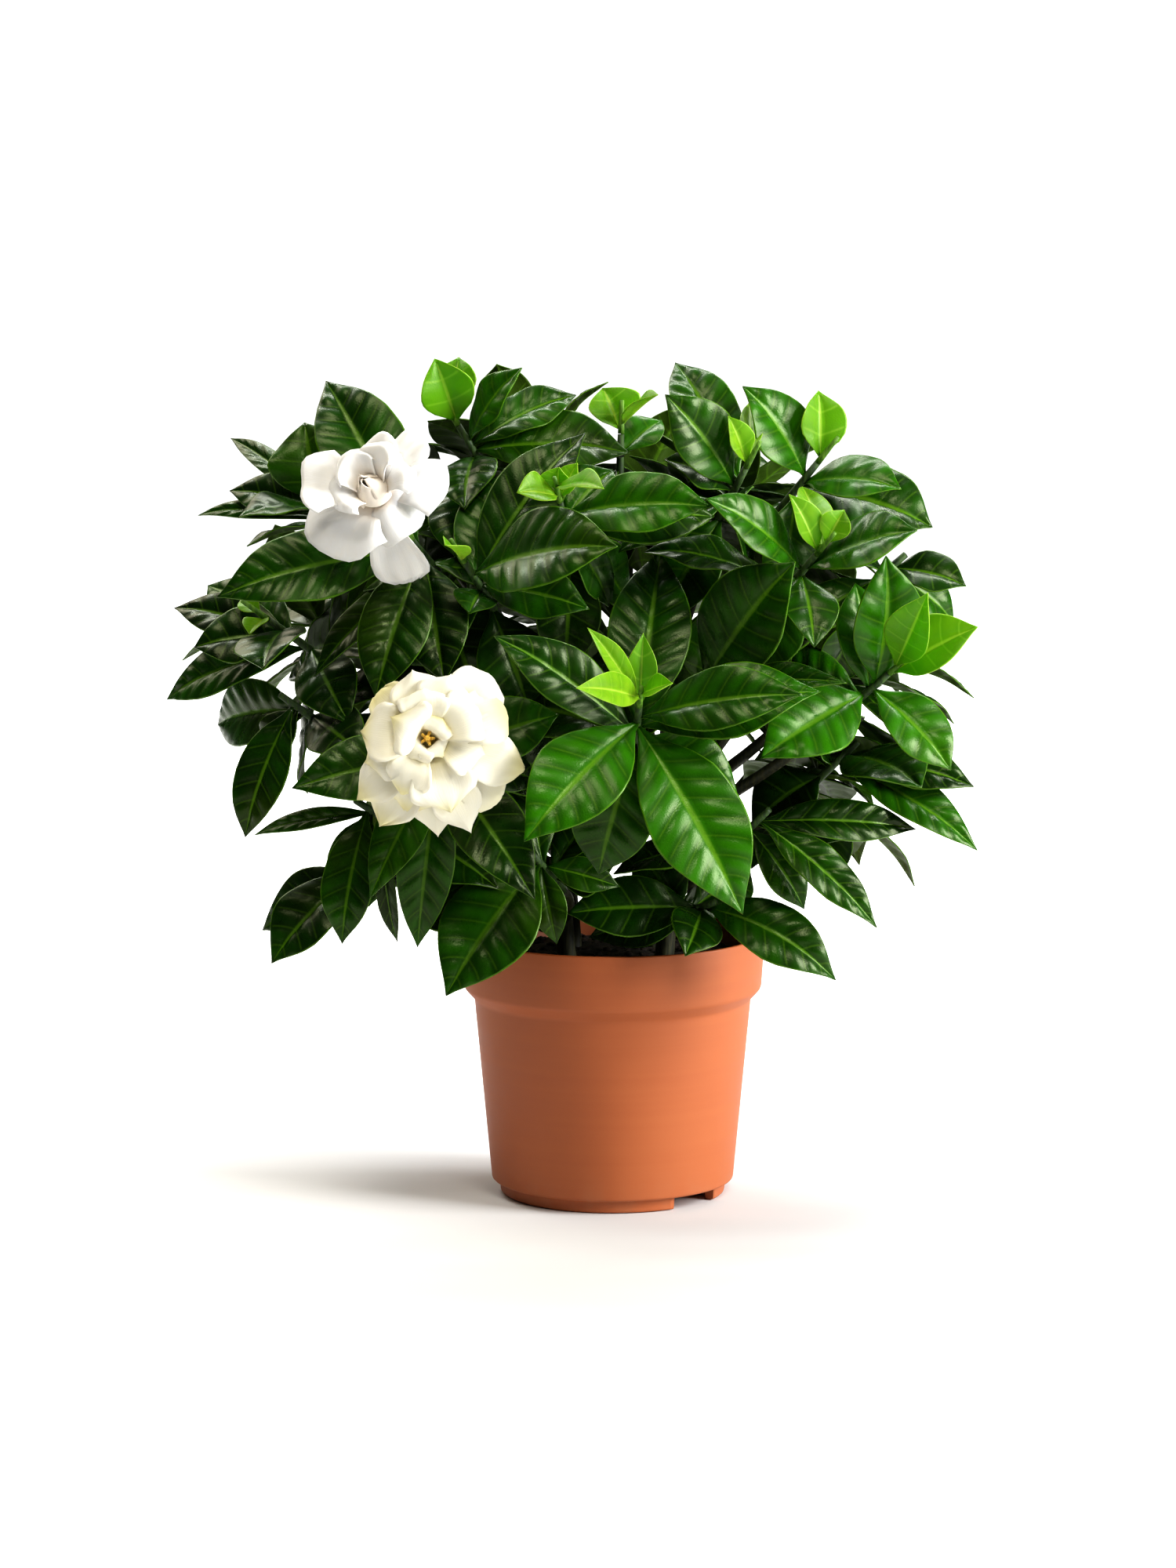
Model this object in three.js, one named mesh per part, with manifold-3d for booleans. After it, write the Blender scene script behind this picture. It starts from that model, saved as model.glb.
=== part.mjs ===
// A potted gardenia: a bushy plant with two open double blooms in a plastic nursery pot.
// Millimetres, +Z up. The origin is the middle of the pot's foot plane, and the side that
// the picture shows faces -Y.
import * as THREE from "three";
import { mergeVertices } from "three/addons/utils/BufferGeometryUtils.js";
import Module from "manifold-3d";

const wasm = await Module();
wasm.setup();

// Pot
const POT_SIDES = 36;
const POT_HEIGHT = 104;
const RIM_RADIUS = 60;
const BAND_FOOT_Z = 82;
const BAND_FOOT_RADIUS = 58.6;
const BODY_TOP_Z = 77.5;
const BODY_TOP_RADIUS = 54.4;
const BODY_FOOT_RADIUS = 47.8;
const WALL = 1.5;
const FOOT_RADIUS = 44.2;
const FOOT_INNER_RADIUS = 40;
const FOOT_HEIGHT = 5;
const FOOT_FLARE = 0.3;
const FLOOR_UNDER_Z = 4.2;
const FLOOR_TOP_Z = 5.8;
const PAD_RADIUS = 12;
const PAD_FLARE = 0.8;
const EDGE = 0.8;
const LIP = 0.6;
const NOTCH_AZIMUTHS = [-42.5, 137.5];
const NOTCH_WIDTH = 23;
const NOTCH_DEPTH = 16;
const DRAIN_HOLES = 6;
const DRAIN_RADIUS = 4;
const DRAIN_RING_RADIUS = 26;
const DRAIN_SIDES = 8;

// Soil
const GAP = 0.3;
const SOIL_GAP = 0.5;
const SOIL_EDGE_Z = 92;
const SOIL_SHOULDER = [48, 93.6];
const SOIL_CROWN = [26, 95.2];
const SOIL_TOP_Z = 96;
const SOIL_SIDES = 24;
const HOLE_CLEARANCE = 1;
const HOLE_DEPTH = 60;
const HOLE_SIDES = 10;

// Cuttings: where each stands in the soil, one to a quarter of the pot
const CUTTINGS = [
  { name: "cutting_front_right", foot: [20, -18] },
  { name: "cutting_front_left", foot: [-18, -16] },
  { name: "cutting_back_left", foot: [-16, 17] },
  { name: "cutting_back_right", foot: [16, 18] },
];
const CUTTING_ROOT_Z = 50;
const CUTTING_WAIST_Z = 130;
const CUTTING_TOP_Z = 165;
const CUTTING_ROOT_RADIUS = 3.6;
const CUTTING_RADIUS = 4;
const CUTTING_WAIST_RADIUS = 3.4;
const CUTTING_TOP_RADIUS = 2.6;
const CUTTING_LEAN = 0.3;
const FORK_LOW_Z = 106;
const FORK_HIGH_Z = 158;
const FORK_DROP = 0.6;
const BRANCH_BEND = 0.45;
const BRANCH_RADIUS = 2.6;
const BRANCH_STEPS = 2;
const CUTTING_SIDES = 6;
const STEM_FOOT_RADIUS = 1.9;
const STEM_TOP_RADIUS = 1.3;
const STEM_SIDES = 3;
const BRANCH_SIDES = 4;
const HEART_SHARE = 0.2;
const HEART_DROP = 80;

// Shoots and leaves
const STEM_BELOW = 29;
const STEM_ABOVE = 4;
const YOUNG_TIP = 13;
const YOUNG_TIP_RADIUS = 0.8;
const YOUNG_FIRST = 1.8;
const SMALL_LEAF = 16;
const LEAF_THICKNESS = 1.2;
const PETAL_THICKNESS = 1.2;
const CLEARANCE = 0.35;
const ROOT_STEP = 2.2;
const FIRST_ROOT = 3;
const LEAF_ARCH = 0.13;
const YOUNG_ARCH = 0.08;
const LEAF_FOLD = 0.16;
const BROAD_LEAF = 24;
const FACE_ALONG_STEM = 0.5;
const FACE_UP = 0.3;
const LIGHT_WAY = [0, -1, 0.2];

// Leaves placed by rule, in degrees and millimetres: the lean from the stem and the length
// of the highest leaf, how much both grow to the lowest one, and the turn to the next leaf
const LEAN_HIGH = 38;
const LEAN_GROWTH = 52;
const LEAN_SPREAD = [-8, 8];
const LENGTH_HIGH = 50;
const LENGTH_GROWTH = 16;
const LENGTH_SPREAD = [-7, 9];
const WIDTH_SHARE = [0.38, 0.45];
const ROLL_SPREAD = [-14, 14];
const ARCH_SPREAD = [-0.03, 0.05];
const DROOP = 0.14;
const NEXT_LEAF_TURN = 2.4;

// The crown that the shoots fill
const CROWN_CENTRE = [-15, 4, 205];
const CROWN_APEX_RADII = [112, 100, 84];
const FILL_SPOTS = 60;
const FILL_LOWEST = 1.5;
const FILL_SPACING = 46;
const FILL_SHOOTS = 16;
const FILL_FRONT_Y = -40;
const FEWEST_EXTRA = 2;
const MOST_LEAVES = 11;
const INWARDS = 0.42;
const TOWARDS_VIEWER = 0.75;
const LOWEST_TIP_Z = 100;
const SEED = 19;

// Where the viewer stands: in front of the pot and a little above it
const EYE = [-9.7, -2200, 491];
const RISE = 1.011;

// Shoots of the side that the picture shows. Every point is [across, up, depth]: across and
// up as seen from the viewer in the plane of the pot's axis, depth towards the back. A leaf
// adds its width, and where they aren't the usual ones its roll about the midrib in degrees
// and the arch of its midrib as a share of its length.
const SHOOTS = [
  { name: "front_star", apex: [10, 188, -112],
    leaves: [[74, 196, -132, 27], [-35, 138, -142, 36], [52, 109, -128, 39],
      [82, 194, -112, 33], [19, 253, -92, 32], [-46, 219, -112, 24],
      [50, 155, -100, 26], [-6, 124, -95, 32]],
    young: [[12, 219, -122, 13], [-9, 221, -112, 10], [-13, 198, -134, 14],
      [23, 200, -138, 11]] },
  { name: "low_bloom", bloom: 1,
    leaves: [[-30, 115, -116, 28], [-126, 159, -100, 26], [-21, 188, -85, 26],
      [-96, 115, -98, 20], [-77, 95, -80, 22]], young: [] },
  { name: "low_left", apex: [-98, 152, -74],
    leaves: [[-107, 97, -84, 22], [-106, 108, -94, 24], [-142, 141, -66, 9],
      [-85, 97, -56, 8]], young: [] },
  { name: "low_far_left", apex: [-104, 127, -50],
    leaves: [[-135, 90, -62, 26], [-139, 103, -50, 23], [-96, 112, -60, 18]], young: [] },
  { name: "left_mid", apex: [-127, 193, -62],
    leaves: [[-145, 139, -66, 22], [-141, 161, -82, 25], [-157, 180, -40, 26],
      [-149, 173, -52, 14], [-98, 172, -92, 24]], young: [] },
  { name: "left_up", apex: [-131, 222, -48],
    leaves: [[-137, 206, -84, 30], [-164, 214, -46, 24], [-172, 230, -18, 20],
      [-159, 239, -30, 24], [-156, 255, -8, 20], [-176, 194, -12, 22],
      [-103, 184, -76, 26]],
    young: [[-142, 219, -62, 11], [-145, 233, -40, 9]] },
  { name: "left_top", apex: [-116, 271, -26],
    leaves: [[-120, 301, -22, 32], [-146, 265, -44, 26], [-150, 275, -12, 19],
      [-150, 296, 4, 10], [-161, 269, 14, 9], [-143, 254, -36, 22]], young: [] },
  { name: "up_bloom", bloom: 0,
    leaves: [[-155, 234, -84, 31], [-112, 318, -24, 32], [-93, 194, -94, 27],
      [-98, 236, -94, 22], [-66, 200, -92, 26], [-118, 203, -78, 19]], young: [] },
  { name: "top_left", apex: [-58, 296, -22],
    leaves: [[-36, 322, -38, 18], [-14, 312, -8, 20], [7, 290, -42, 32],
      [-54, 269, -62, 24]],
    young: [[-69, 325, -30, 22], [-60, 326, -18, 20], [-50, 322, -10, 10]] },
  { name: "mid_left", apex: [-56, 244, -84],
    leaves: [[1, 254, -126, 38], [-11, 298, -84, 30], [-43, 282, -70, 26],
      [-9, 229, -92, 22], [-56, 227, -112, 18]],
    young: [[-65, 254, -108, 12]] },
  { name: "mid_top", apex: [-20, 267, -84],
    leaves: [[38, 269, -104, 27], [0, 283, -68, 28], [40, 265, -88, 28]],
    young: [[-14, 285, -90, 10], [-37, 274, -104, 15], [-25, 282, -84, 13],
      [-4, 276, -92, 13]] },
  { name: "top_mid", apex: [3, 292, 2],
    leaves: [[19, 302, 14, 16], [-13, 294, -30, 22]],
    young: [[-4, 314, 2, 22], [17, 312, 12, 13]] },
  { name: "right_top", apex: [50, 280, -58],
    leaves: [[24, 325, -32, 24], [27, 315, -56, 26], [20, 287, -84, 22],
      [51, 273, -88, 13]],
    young: [[45, 303, -68, 12], [53, 309, -52, 10], [38, 300, -48, 11]] },
  { name: "right_crown", apex: [77, 282, -36],
    leaves: [[51, 315, -46, 30], [112, 276, -62, 27], [125, 261, -42, 36],
      [95, 276, -84, 19]],
    young: [[80, 313, -38, 20], [64, 314, -20, 14]] },
  { name: "right_mid", apex: [77, 247, -82],
    leaves: [[118, 260, -98, 30], [37, 272, -108, 22], [79, 214, -104, 22],
      [58, 233, -96, 16]],
    young: [[69, 273, -92, 14], [74, 277, -80, 14], [90, 267, -86, 13]] },
  { name: "centre_back", apex: [36, 201, -76],
    leaves: [[70, 247, -104, 37], [38, 230, -88, 20], [91, 201, -100, 16]], young: [] },
  { name: "right_shoulder", apex: [111, 247, -30],
    leaves: [[138, 238, -36, 21], [134, 223, -18, 18], [95, 247, -66, 14]], young: [] },
  { name: "right_low", apex: [93, 174, -38],
    leaves: [[121, 160, -76, 34], [142, 160, -46, 20], [144, 135, -52, 21],
      [70, 180, -72, 30]], young: [] },
  { name: "right", apex: [105, 201, -70],
    leaves: [[107, 249, -96, 31], [133, 166, -80, 25], [95, 239, -62, 24],
      [58, 171, -98, 32]],
    young: [[142, 222, -86, 25], [122, 234, -68, 20], [135, 220, -62, 16]] },
  { name: "right_foot", apex: [59, 148, -66],
    leaves: [[105, 104, -74, 19], [120, 143, -48, 18], [93, 139, -52, 13],
      [76, 111, -62, 18], [55, 127, -92, 24], [82, 140, -34, 10]], young: [] },
  { name: "base_right", apex: [38, 113, -52],
    leaves: [[89, 83, -66, 25, 0, 0.36], [29, 93, -80, 22], [-18, 110, -56, 24],
      [-10, 100, -70, 22]], young: [] },
  { name: "base_left", apex: [-30, 131, -64],
    leaves: [[-66, 77, -92, 38], [-22, 97, -66, 14], [3, 120, -60, 14]], young: [] },
];

// Blooms: the middle as [across, up, depth], the way each one faces, and its petals from
// the outer layer to the heart. A petal is [angle as seen, length, width, lift of its
// middle and height of its tip along the way the bloom faces].
const BLOOMS = [
  { name: "bloom_1", centre: [-90.7, 270.7, -96], facing: [-0.35, -0.75, 0.55],
    petals: [[60, 31, 24, 8, 2], [83, 24, 22, 9, 4], [115, 22, 22, 8, 2],
      [160, 28, 26, 10, 5], [-167, 34, 26, 7, 3], [-140, 30, 28, 9, 8],
      [-119, 25, 30, 7, 4], [-95, 20, 24, 11, 9], [-73, 33, 22, 2, -6],
      [5, 28, 26, 8, -1], [-35, 22, 22, 10, 4], [-49, 19, 24, 14, 10],
      [30, 20, 22, 12, 7], [70, 22, 18, 13, 9], [140, 16, 20, 13, 10],
      [-160, 18, 22, 13, 11], [-110, 9, 14, 12, 14], [10, 9, 13, 12, 14],
      [130, 9, 13, 12, 15]],
    sepals: [[52, 27, -4], [112, 13, -8], [172, 13, -8], [232, 13, -8], [292, 13, -9],
      [352, 13, -8]] },
  { name: "bloom_2", centre: [-71.7, 176.8, -122], facing: [-0.05, -0.96, 0.27],
    petals: [[103, 29, 24, 8, 3], [135, 28, 20, 6, 1], [71, 28, 24, 10, 6],
      [47, 36, 30, 7, 1], [22, 33, 26, 9, 4], [-16, 39, 24, 7, -2],
      [-41, 36, 22, 5, -3], [-66, 40, 22, 7, -2], [-86, 38, 24, 5, -6],
      [-108, 30, 24, 7, -1], [-122, 39, 24, 4, -7], [-142, 37, 20, 6, -3],
      [-162, 28, 24, 8, 1], [173, 27, 26, 11, 6], [-73, 31, 30, 12, 5],
      [30, 24, 26, 14, 9], [95, 21, 24, 13, 8], [-15, 24, 24, 12, 7],
      [-116, 25, 22, 13, 8], [150, 18, 20, 15, 12], [-140, 12, 14, 12, 14],
      [60, 11, 14, 12, 13], [-50, 11, 13, 12, 13]],
    sepals: [[20, 13, -9], [80, 13, -9], [140, 13, -9], [200, 13, -9], [260, 13, -9],
      [320, 13, -9]] },
];
const FLOWER_TUBE = 26;
const RECEPTACLE_RADIUS = 4;
const RECEPTACLE_DEPTH = 4;
const RECEPTACLE_TOP = 0.8;
const PETAL_ROOT_RADIUS = 2.2;
const RECEPTACLE_FOOT_RADIUS = 3.2;
const RECEPTACLE_SIDES = 8;
const PETAL_BEND = 0.45;
const PETAL_FOLD = 0.12;
const SHORT_PETAL = 15;
const TUBE_THROAT = 7;
const TUBE_RADII = [3.2, 3, 1.8];
const TUBE_SIDES = 6;
const SEPAL_WIDTH = 3.6;
const SEPAL_ROOT = 3;
const SEPAL_SAG = -1;
const STYLE_HEIGHT = 8;
const STYLE_TIP = 2;
const STYLE_RADII = [1, 1.3, 0.8];
const ANTHERS = 5;
const ANTHER_ROOT = -0.8;
const ANTHER_REACH = 2.6;
const ANTHER_RISE = 0.6;
const ANTHER_RADII = [0.8, 0.6];

// Stations along a blade, from root to tip, with the share of the full width at each
const BROAD_BLADE = { at: [0, 0.3, 0.6, 0.85, 1], width: [0, 0.76, 1.04, 0.64, 0] };
const PLAIN_BLADE = { at: [0, 0.36, 0.72, 1], width: [0, 0.92, 0.96, 0] };
const SMALL_BLADE = { at: [0, 0.5, 1], width: [0, 1.04, 0] };
const PETAL_BLADE = { at: [0, 0.42, 0.84, 1], width: [0, 0.62, 1, 0] };
const INNER_PETAL_BLADE = { at: [0, 0.7, 1], width: [0, 1.1, 0] };
const LEAF_ROOT_WIDTH = 2.6;
const LEAF_ROOT_DEPTH = 2;
const PETAL_ROOT_WIDTH = 1.4;
const TRIM = 0.07;
const ROOT_OFFSET = 0.6;

// Moves that bring a leaf clear: millimetres, degrees, shares of its length, and what a
// smaller leaf, a sidestep and a roll cost against a millimetre of lift
const SHOWN_MOVES = { lifts: [4, 9, 15, 22, 30, 38], sidesteps: [4, 8], sizes: [1, 0.86, 0.72] };
const RULED_MOVES = { lifts: [6, 12, 18, 26], sidesteps: [8, 16, 24], sizes: [1] };
const ROLLS = [22, 45];
const SMALLER_COST = 150;
const SIDESTEP_COST = 3;
const ROLL_COST = 0.7;
const ROOT_CLEARANCE = 6;
const TOUCHING = 1e-4;
const WELD = 1e-4;
const NEARLY_UPRIGHT = 0.9;

// The corners of a stem's section and the axes of a box, by number
const STEM_CORNERS = [0, 1, 2];
const AXES = [0, 1, 2];

// Random draws that repeat on every run
const DRAW_FACTOR = 1664525;
const DRAW_STEP = 1013904223;
const DRAW_RANGE = 2 ** 32;
let drawState = SEED;
function draw(low, high) {
  drawState = (Math.imul(drawState, DRAW_FACTOR) + DRAW_STEP) >>> 0;
  return low + (high - low) * (drawState / DRAW_RANGE);
}

// Vectors
const vec = (x, y, z) => new THREE.Vector3(x, y, z);
const sum = (a, b, k = 1) => a.clone().addScaledVector(b, k);
const UP = vec(0, 0, 1);

// How small a length looks at a depth, against the plane of the pot's axis
function reachOf(depth) {
  return (depth - EYE[1]) / -EYE[1];
}

// A point given as the viewer sees it
function seen([across, up, depth]) {
  const reach = reachOf(depth);
  return vec(
    EYE[0] + (across - EYE[0]) * reach,
    depth,
    EYE[2] + (RISE * up - EYE[2]) * reach,
  );
}

// The part of a vector that is square to a unit direction, as a unit vector
function squareTo(v, direction) {
  return sum(v, direction, -v.dot(direction)).normalize();
}

// A unit vector square to a direction, from which turns about it are counted
function startOf(direction) {
  return squareTo(Math.abs(direction.z) > NEARLY_UPRIGHT ? vec(1, 0, 0) : UP, direction);
}

const radians = (degrees) => (degrees * Math.PI) / 180;

// A closed geometry as a solid
function solid(geometry) {
  const bare = geometry.clone();
  bare.deleteAttribute("normal");
  bare.deleteAttribute("uv");
  const merged = mergeVertices(bare, WELD);
  const corners = merged.index.array;
  const kept = [];
  for (let i = 0; i < corners.length; i += 3) {
    const [a, b, c] = [corners[i], corners[i + 1], corners[i + 2]];
    if (a !== b && b !== c && a !== c) kept.push(a, b, c);
  }
  return new wasm.Manifold(new wasm.Mesh({
    numProp: 3,
    vertProperties: merged.attributes.position.array,
    triVerts: new Uint32Array(kept),
  }));
}

// Several solids as one
function fuse(solids) {
  return wasm.Manifold.union(solids);
}

// A solid as a named mesh
function piece(name, body, material) {
  const data = body.getMesh();
  const geometry = new THREE.BufferGeometry();
  geometry.setAttribute("position", new THREE.BufferAttribute(data.vertProperties, 3));
  geometry.setIndex(new THREE.BufferAttribute(data.triVerts, 1));
  geometry.computeVertexNormals();
  const made = new THREE.Mesh(geometry, material);
  made.name = name;
  return made;
}

// A ring-shaped body turned about +Z from [radius, z] points
function turned(profile, sides) {
  const points = profile.map(([radius, z]) => new THREE.Vector2(radius, z));
  return new THREE.LatheGeometry(points, sides).rotateX(Math.PI / 2);
}

// A tapered round rod through points, closed at both ends. Its last face is square to
// `endWay` where that is given.
function rod(points, radii, sides, endWay = null) {
  const start = startOf(sum(points[1], points[0], -1).normalize());
  const sleeve = new THREE.CylinderGeometry(1, 1, 1, sides, points.length - 1);
  const place = sleeve.attributes.position;
  for (let i = 0; i < place.count; i++) {
    const ring = Math.round((place.getY(i) + 0.5) * (points.length - 1));
    const before = points[Math.max(ring - 1, 0)];
    const after = points[Math.min(ring + 1, points.length - 1)];
    const isEnd = endWay && ring === points.length - 1;
    const along = isEnd ? endWay : sum(after, before, -1).normalize();
    const side = squareTo(start, along);
    const other = along.clone().cross(side);
    const at = sum(
      sum(points[ring], side, radii[ring] * place.getX(i)),
      other,
      -radii[ring] * place.getZ(i),
    );
    place.setXYZ(i, at.x, at.y, at.z);
  }
  return solid(sleeve);
}

// Points along a bend from start to end, drawn towards its middle point
function bend(start, middle, end, steps) {
  return new THREE.QuadraticBezierCurve3(start, middle, end).getPoints(steps);
}

// A skin that points and triangles are added to
function newSkin() {
  const points = [];
  const corners = [];
  const add = (point) => points.push(point) - 1;
  const close = () => {
    const geometry = new THREE.BufferGeometry().setFromPoints(points);
    return solid(geometry.setIndex(corners));
  };
  return { points, corners, add, close };
}

// The sections of a thin blade along a bend, thickest at its midrib. Each section is
// [lower midrib, right edge, upper midrib, left edge]. The face looks along `face`, turned by
// `roll` degrees about the midrib, and its halves fold up by `fold`.
function sections(leaf, start) {
  const { root, middle, tip, face, roll, width, fold, shape, thickness } = leaf;
  const line = new THREE.QuadraticBezierCurve3(root, middle, tip);
  const turn = radians(roll);
  const rings = shape.at.slice(0, -1).map((station, row) => {
    const at = row === 0 ? start : station;
    const share = start / shape.at[1];
    const first = leaf.rootWidth + (shape.width[1] * width - leaf.rootWidth) * share;
    const half = (row === 0 ? first : shape.width[row] * width) / 2;
    const depth = row === 0 ? leaf.rootDepth : thickness;
    const point = line.getPoint(at);
    const along = line.getTangent(at);
    const normal = squareTo(face, along).applyAxisAngle(along, turn);
    const side = normal.clone().cross(along);
    const raised = sum(point, normal, half * fold);
    return [
      sum(point, normal, -depth / 2), sum(raised, side, half),
      sum(point, normal, depth / 2), sum(raised, side, -half),
    ];
  });
  return { rings, tip };
}

// The blade's sections joined in a skin after its first one. Both faces are split alike.
function growBlade(skin, first, rings, tip) {
  let before = first;
  for (const ring of rings) {
    const next = ring.map(skin.add);
    for (let i = 0; i < 4; i++) {
      const j = (i + 1) % 4;
      if (i % 2) skin.corners.push(before[i], before[j], next[i], before[j], next[j], next[i]);
      else skin.corners.push(before[i], before[j], next[j], before[i], next[j], next[i]);
    }
    before = next;
  }
  const end = skin.add(tip);
  for (let i = 0; i < 4; i++) skin.corners.push(before[i], before[(i + 1) % 4], end);
}

// A blade that stands alone, from its share `start` on
function blade(leaf, start = 0) {
  const { rings, tip } = sections(leaf, start);
  const skin = newSkin();
  const [a, b, c, d] = rings[0].map(skin.add);
  skin.corners.push(a, d, c, a, c, b);
  growBlade(skin, [a, b, c, d], rings.slice(1), tip);
  return skin.close();
}

// A corner of a three-sided stem at a height above the apex
function stemCorner({ apex, way }, { foot, top, footRadius, topRadius }, height, k) {
  const radius = footRadius + ((topRadius - footRadius) * (height - foot)) / (top - foot);
  const out = startOf(way).applyAxisAngle(way, (k * 2 * Math.PI) / STEM_SIDES);
  return sum(sum(apex, way, height), out, radius);
}

// The band of the stem that a leaf grows from: its two heights
function bandOf({ height }) {
  const hundredths = (z) => Math.round(z * 100) / 100;
  return [hundredths(height - ROOT_STEP / 2), hundredths(height + ROOT_STEP / 2)];
}

// The facet of the stem that looks most towards a leaf's tip
function facetOf(stem, span, leaf) {
  const centre = sum(stem.apex, stem.way, leaf.height);
  const towards = sum(leaf.shape.tip, centre, -1);
  const facing = (k) => {
    const across = sum(
      stemCorner(stem, span, leaf.height, k),
      stemCorner(stem, span, leaf.height, k + 1),
    );
    return sum(across, centre, -2).normalize().dot(towards);
  };
  return STEM_CORNERS.reduce((best, k) => (facing(k) > facing(best) ? k : best));
}

// A three-sided stem in one skin with its leaves: each leaf grows from a facet of its own
// band of the stem
function sprig(stem, span, leaves) {
  const heights = [...new Set([span.foot, span.top, ...leaves.flatMap(bandOf)])]
    .sort((p, q) => p - q);
  const skin = newSkin();
  const rings = heights.map((height) => (
    STEM_CORNERS.map((k) => skin.add(stemCorner(stem, span, height, k)))
  ));
  for (let band = 0; band + 1 < heights.length; band++) {
    const leaf = leaves.find((one) => bandOf(one)[0] === heights[band]);
    const facet = leaf ? facetOf(stem, span, leaf) : null;
    for (let k = 0; k < STEM_SIDES; k++) {
      const next = (k + 1) % STEM_SIDES;
      const quad = [rings[band][k], rings[band][next], rings[band + 1][next], rings[band + 1][k]];
      if (k === facet) growFrom(skin, quad, leaf.shape, stem.way);
      else skin.corners.push(quad[0], quad[1], quad[2], quad[0], quad[2], quad[3]);
    }
  }
  skin.corners.push(rings[0][0], rings[0][2], rings[0][1]);
  skin.corners.push(rings.at(-1)[0], rings.at(-1)[1], rings.at(-1)[2]);
  return skin;
}

// A blade grown from a facet of the stem in place of its root section
function growFrom(skin, quad, leaf, way) {
  const { rings, tip } = sections(leaf, 0);
  const upright = sum(rings[1][2], rings[1][0], -1).normalize();
  const sideways = sum(rings[1][1], rings[1][3], -1).normalize();
  const turns = Math.round(
    Math.atan2(sideways.dot(way), upright.dot(way)) / (Math.PI / 2),
  );
  const first = rings[1].map(skin.add);
  const near = [0, 1, 2, 3].map((i) => first[(i + turns + 4) % 4]);
  for (let i = 0; i < 4; i++) {
    const j = (i + 1) % 4;
    skin.corners.push(quad[i], quad[j], near[i], quad[j], near[j], near[i]);
  }
  growBlade(skin, first, rings.slice(2), tip);
}

// The triangles of a skin, each with its normal and its box
function trianglesOf({ points, corners }) {
  const made = [];
  for (let i = 0; i < corners.length; i += 3) {
    const [p, q, r] = [points[corners[i]], points[corners[i + 1]], points[corners[i + 2]]];
    const normal = sum(q, p, -1).cross(sum(r, p, -1)).normalize();
    made.push({ corners: [p, q, r], normal, box: new THREE.Box3().setFromPoints([p, q, r]) });
  }
  return made;
}

// The triangles of one leaf alone, as it grows from its stem
function grownLeaf(stem, span, leaf) {
  const k = facetOf(stem, span, leaf);
  const [low, high] = bandOf(leaf);
  const skin = newSkin();
  const quad = [[low, k], [low, k + 1], [high, k + 1], [high, k]]
    .map(([height, side]) => skin.add(stemCorner(stem, span, height, side)));
  growFrom(skin, quad, leaf.shape, stem.way);
  return trianglesOf(skin);
}

// Whether an edge of one triangle passes through the inside of another
function pierces({ corners }, { corners: other, normal }) {
  return corners.some((start, i) => {
    const end = corners[(i + 1) % 3];
    const above = sum(start, other[0], -1).dot(normal);
    const below = sum(end, other[0], -1).dot(normal);
    if (above * below >= 0 || Math.min(Math.abs(above), Math.abs(below)) < TOUCHING) return false;
    const point = start.clone().lerp(end, above / (above - below));
    return other.every((corner, k) => {
      const edge = sum(other[(k + 1) % 3], corner, -1);
      return edge.cross(sum(point, corner, -1)).dot(normal) > TOUCHING;
    });
  });
}

// Whether two sets of triangles cross, other than by touching at a corner or an edge
function crosses(first, second) {
  return first.some((a) => second.some((b) => (
    a !== b && a.box.intersectsBox(b.box) && (pierces(a, b) || pierces(b, a))
  )));
}

// Pot: one turned shell with a foot ring, cut by two notches and the drain holes
function potBody() {
  const shell = solid(turned([
    [0, 0],
    [PAD_RADIUS, 0],
    [PAD_RADIUS + PAD_FLARE, FLOOR_UNDER_Z],
    [FOOT_INNER_RADIUS, FLOOR_UNDER_Z],
    [FOOT_INNER_RADIUS + LIP, 0],
    [FOOT_RADIUS - EDGE, 0],
    [FOOT_RADIUS, EDGE],
    [FOOT_RADIUS + FOOT_FLARE, FOOT_HEIGHT],
    [BODY_FOOT_RADIUS - EDGE, FOOT_HEIGHT + FOOT_FLARE],
    [BODY_FOOT_RADIUS, FOOT_HEIGHT + 2 * EDGE],
    [BODY_TOP_RADIUS, BODY_TOP_Z],
    [BAND_FOOT_RADIUS - EDGE, BAND_FOOT_Z - LIP],
    [BAND_FOOT_RADIUS, BAND_FOOT_Z + LIP],
    [RIM_RADIUS, POT_HEIGHT - EDGE],
    [RIM_RADIUS - LIP, POT_HEIGHT],
    [RIM_RADIUS - WALL, POT_HEIGHT],
    [RIM_RADIUS - WALL - LIP, POT_HEIGHT - EDGE],
    [BAND_FOOT_RADIUS - WALL, BAND_FOOT_Z + LIP],
    [BODY_TOP_RADIUS - WALL, BODY_TOP_Z + LIP],
    [BODY_FOOT_RADIUS - WALL, FLOOR_TOP_Z + EDGE],
    [0, FLOOR_TOP_Z],
  ], POT_SIDES));
  const notches = NOTCH_AZIMUTHS.map((azimuth) => solid(
    new THREE.BoxGeometry(NOTCH_DEPTH, NOTCH_WIDTH, 2 * FOOT_HEIGHT)
      .translate(FOOT_RADIUS, 0, 0)
      .rotateZ(radians(azimuth)),
  ));
  const holes = Array.from({ length: DRAIN_HOLES }, (_, i) => solid(
    new THREE.CylinderGeometry(DRAIN_RADIUS, DRAIN_RADIUS, 2 * FLOOR_TOP_Z, DRAIN_SIDES)
      .rotateX(Math.PI / 2)
      .translate(DRAIN_RING_RADIUS, 0, FLOOR_TOP_Z)
      .rotateZ(((i + 0.5) * 2 * Math.PI) / DRAIN_HOLES),
  ));
  return shell.subtract(fuse([...notches, ...holes]));
}

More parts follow.
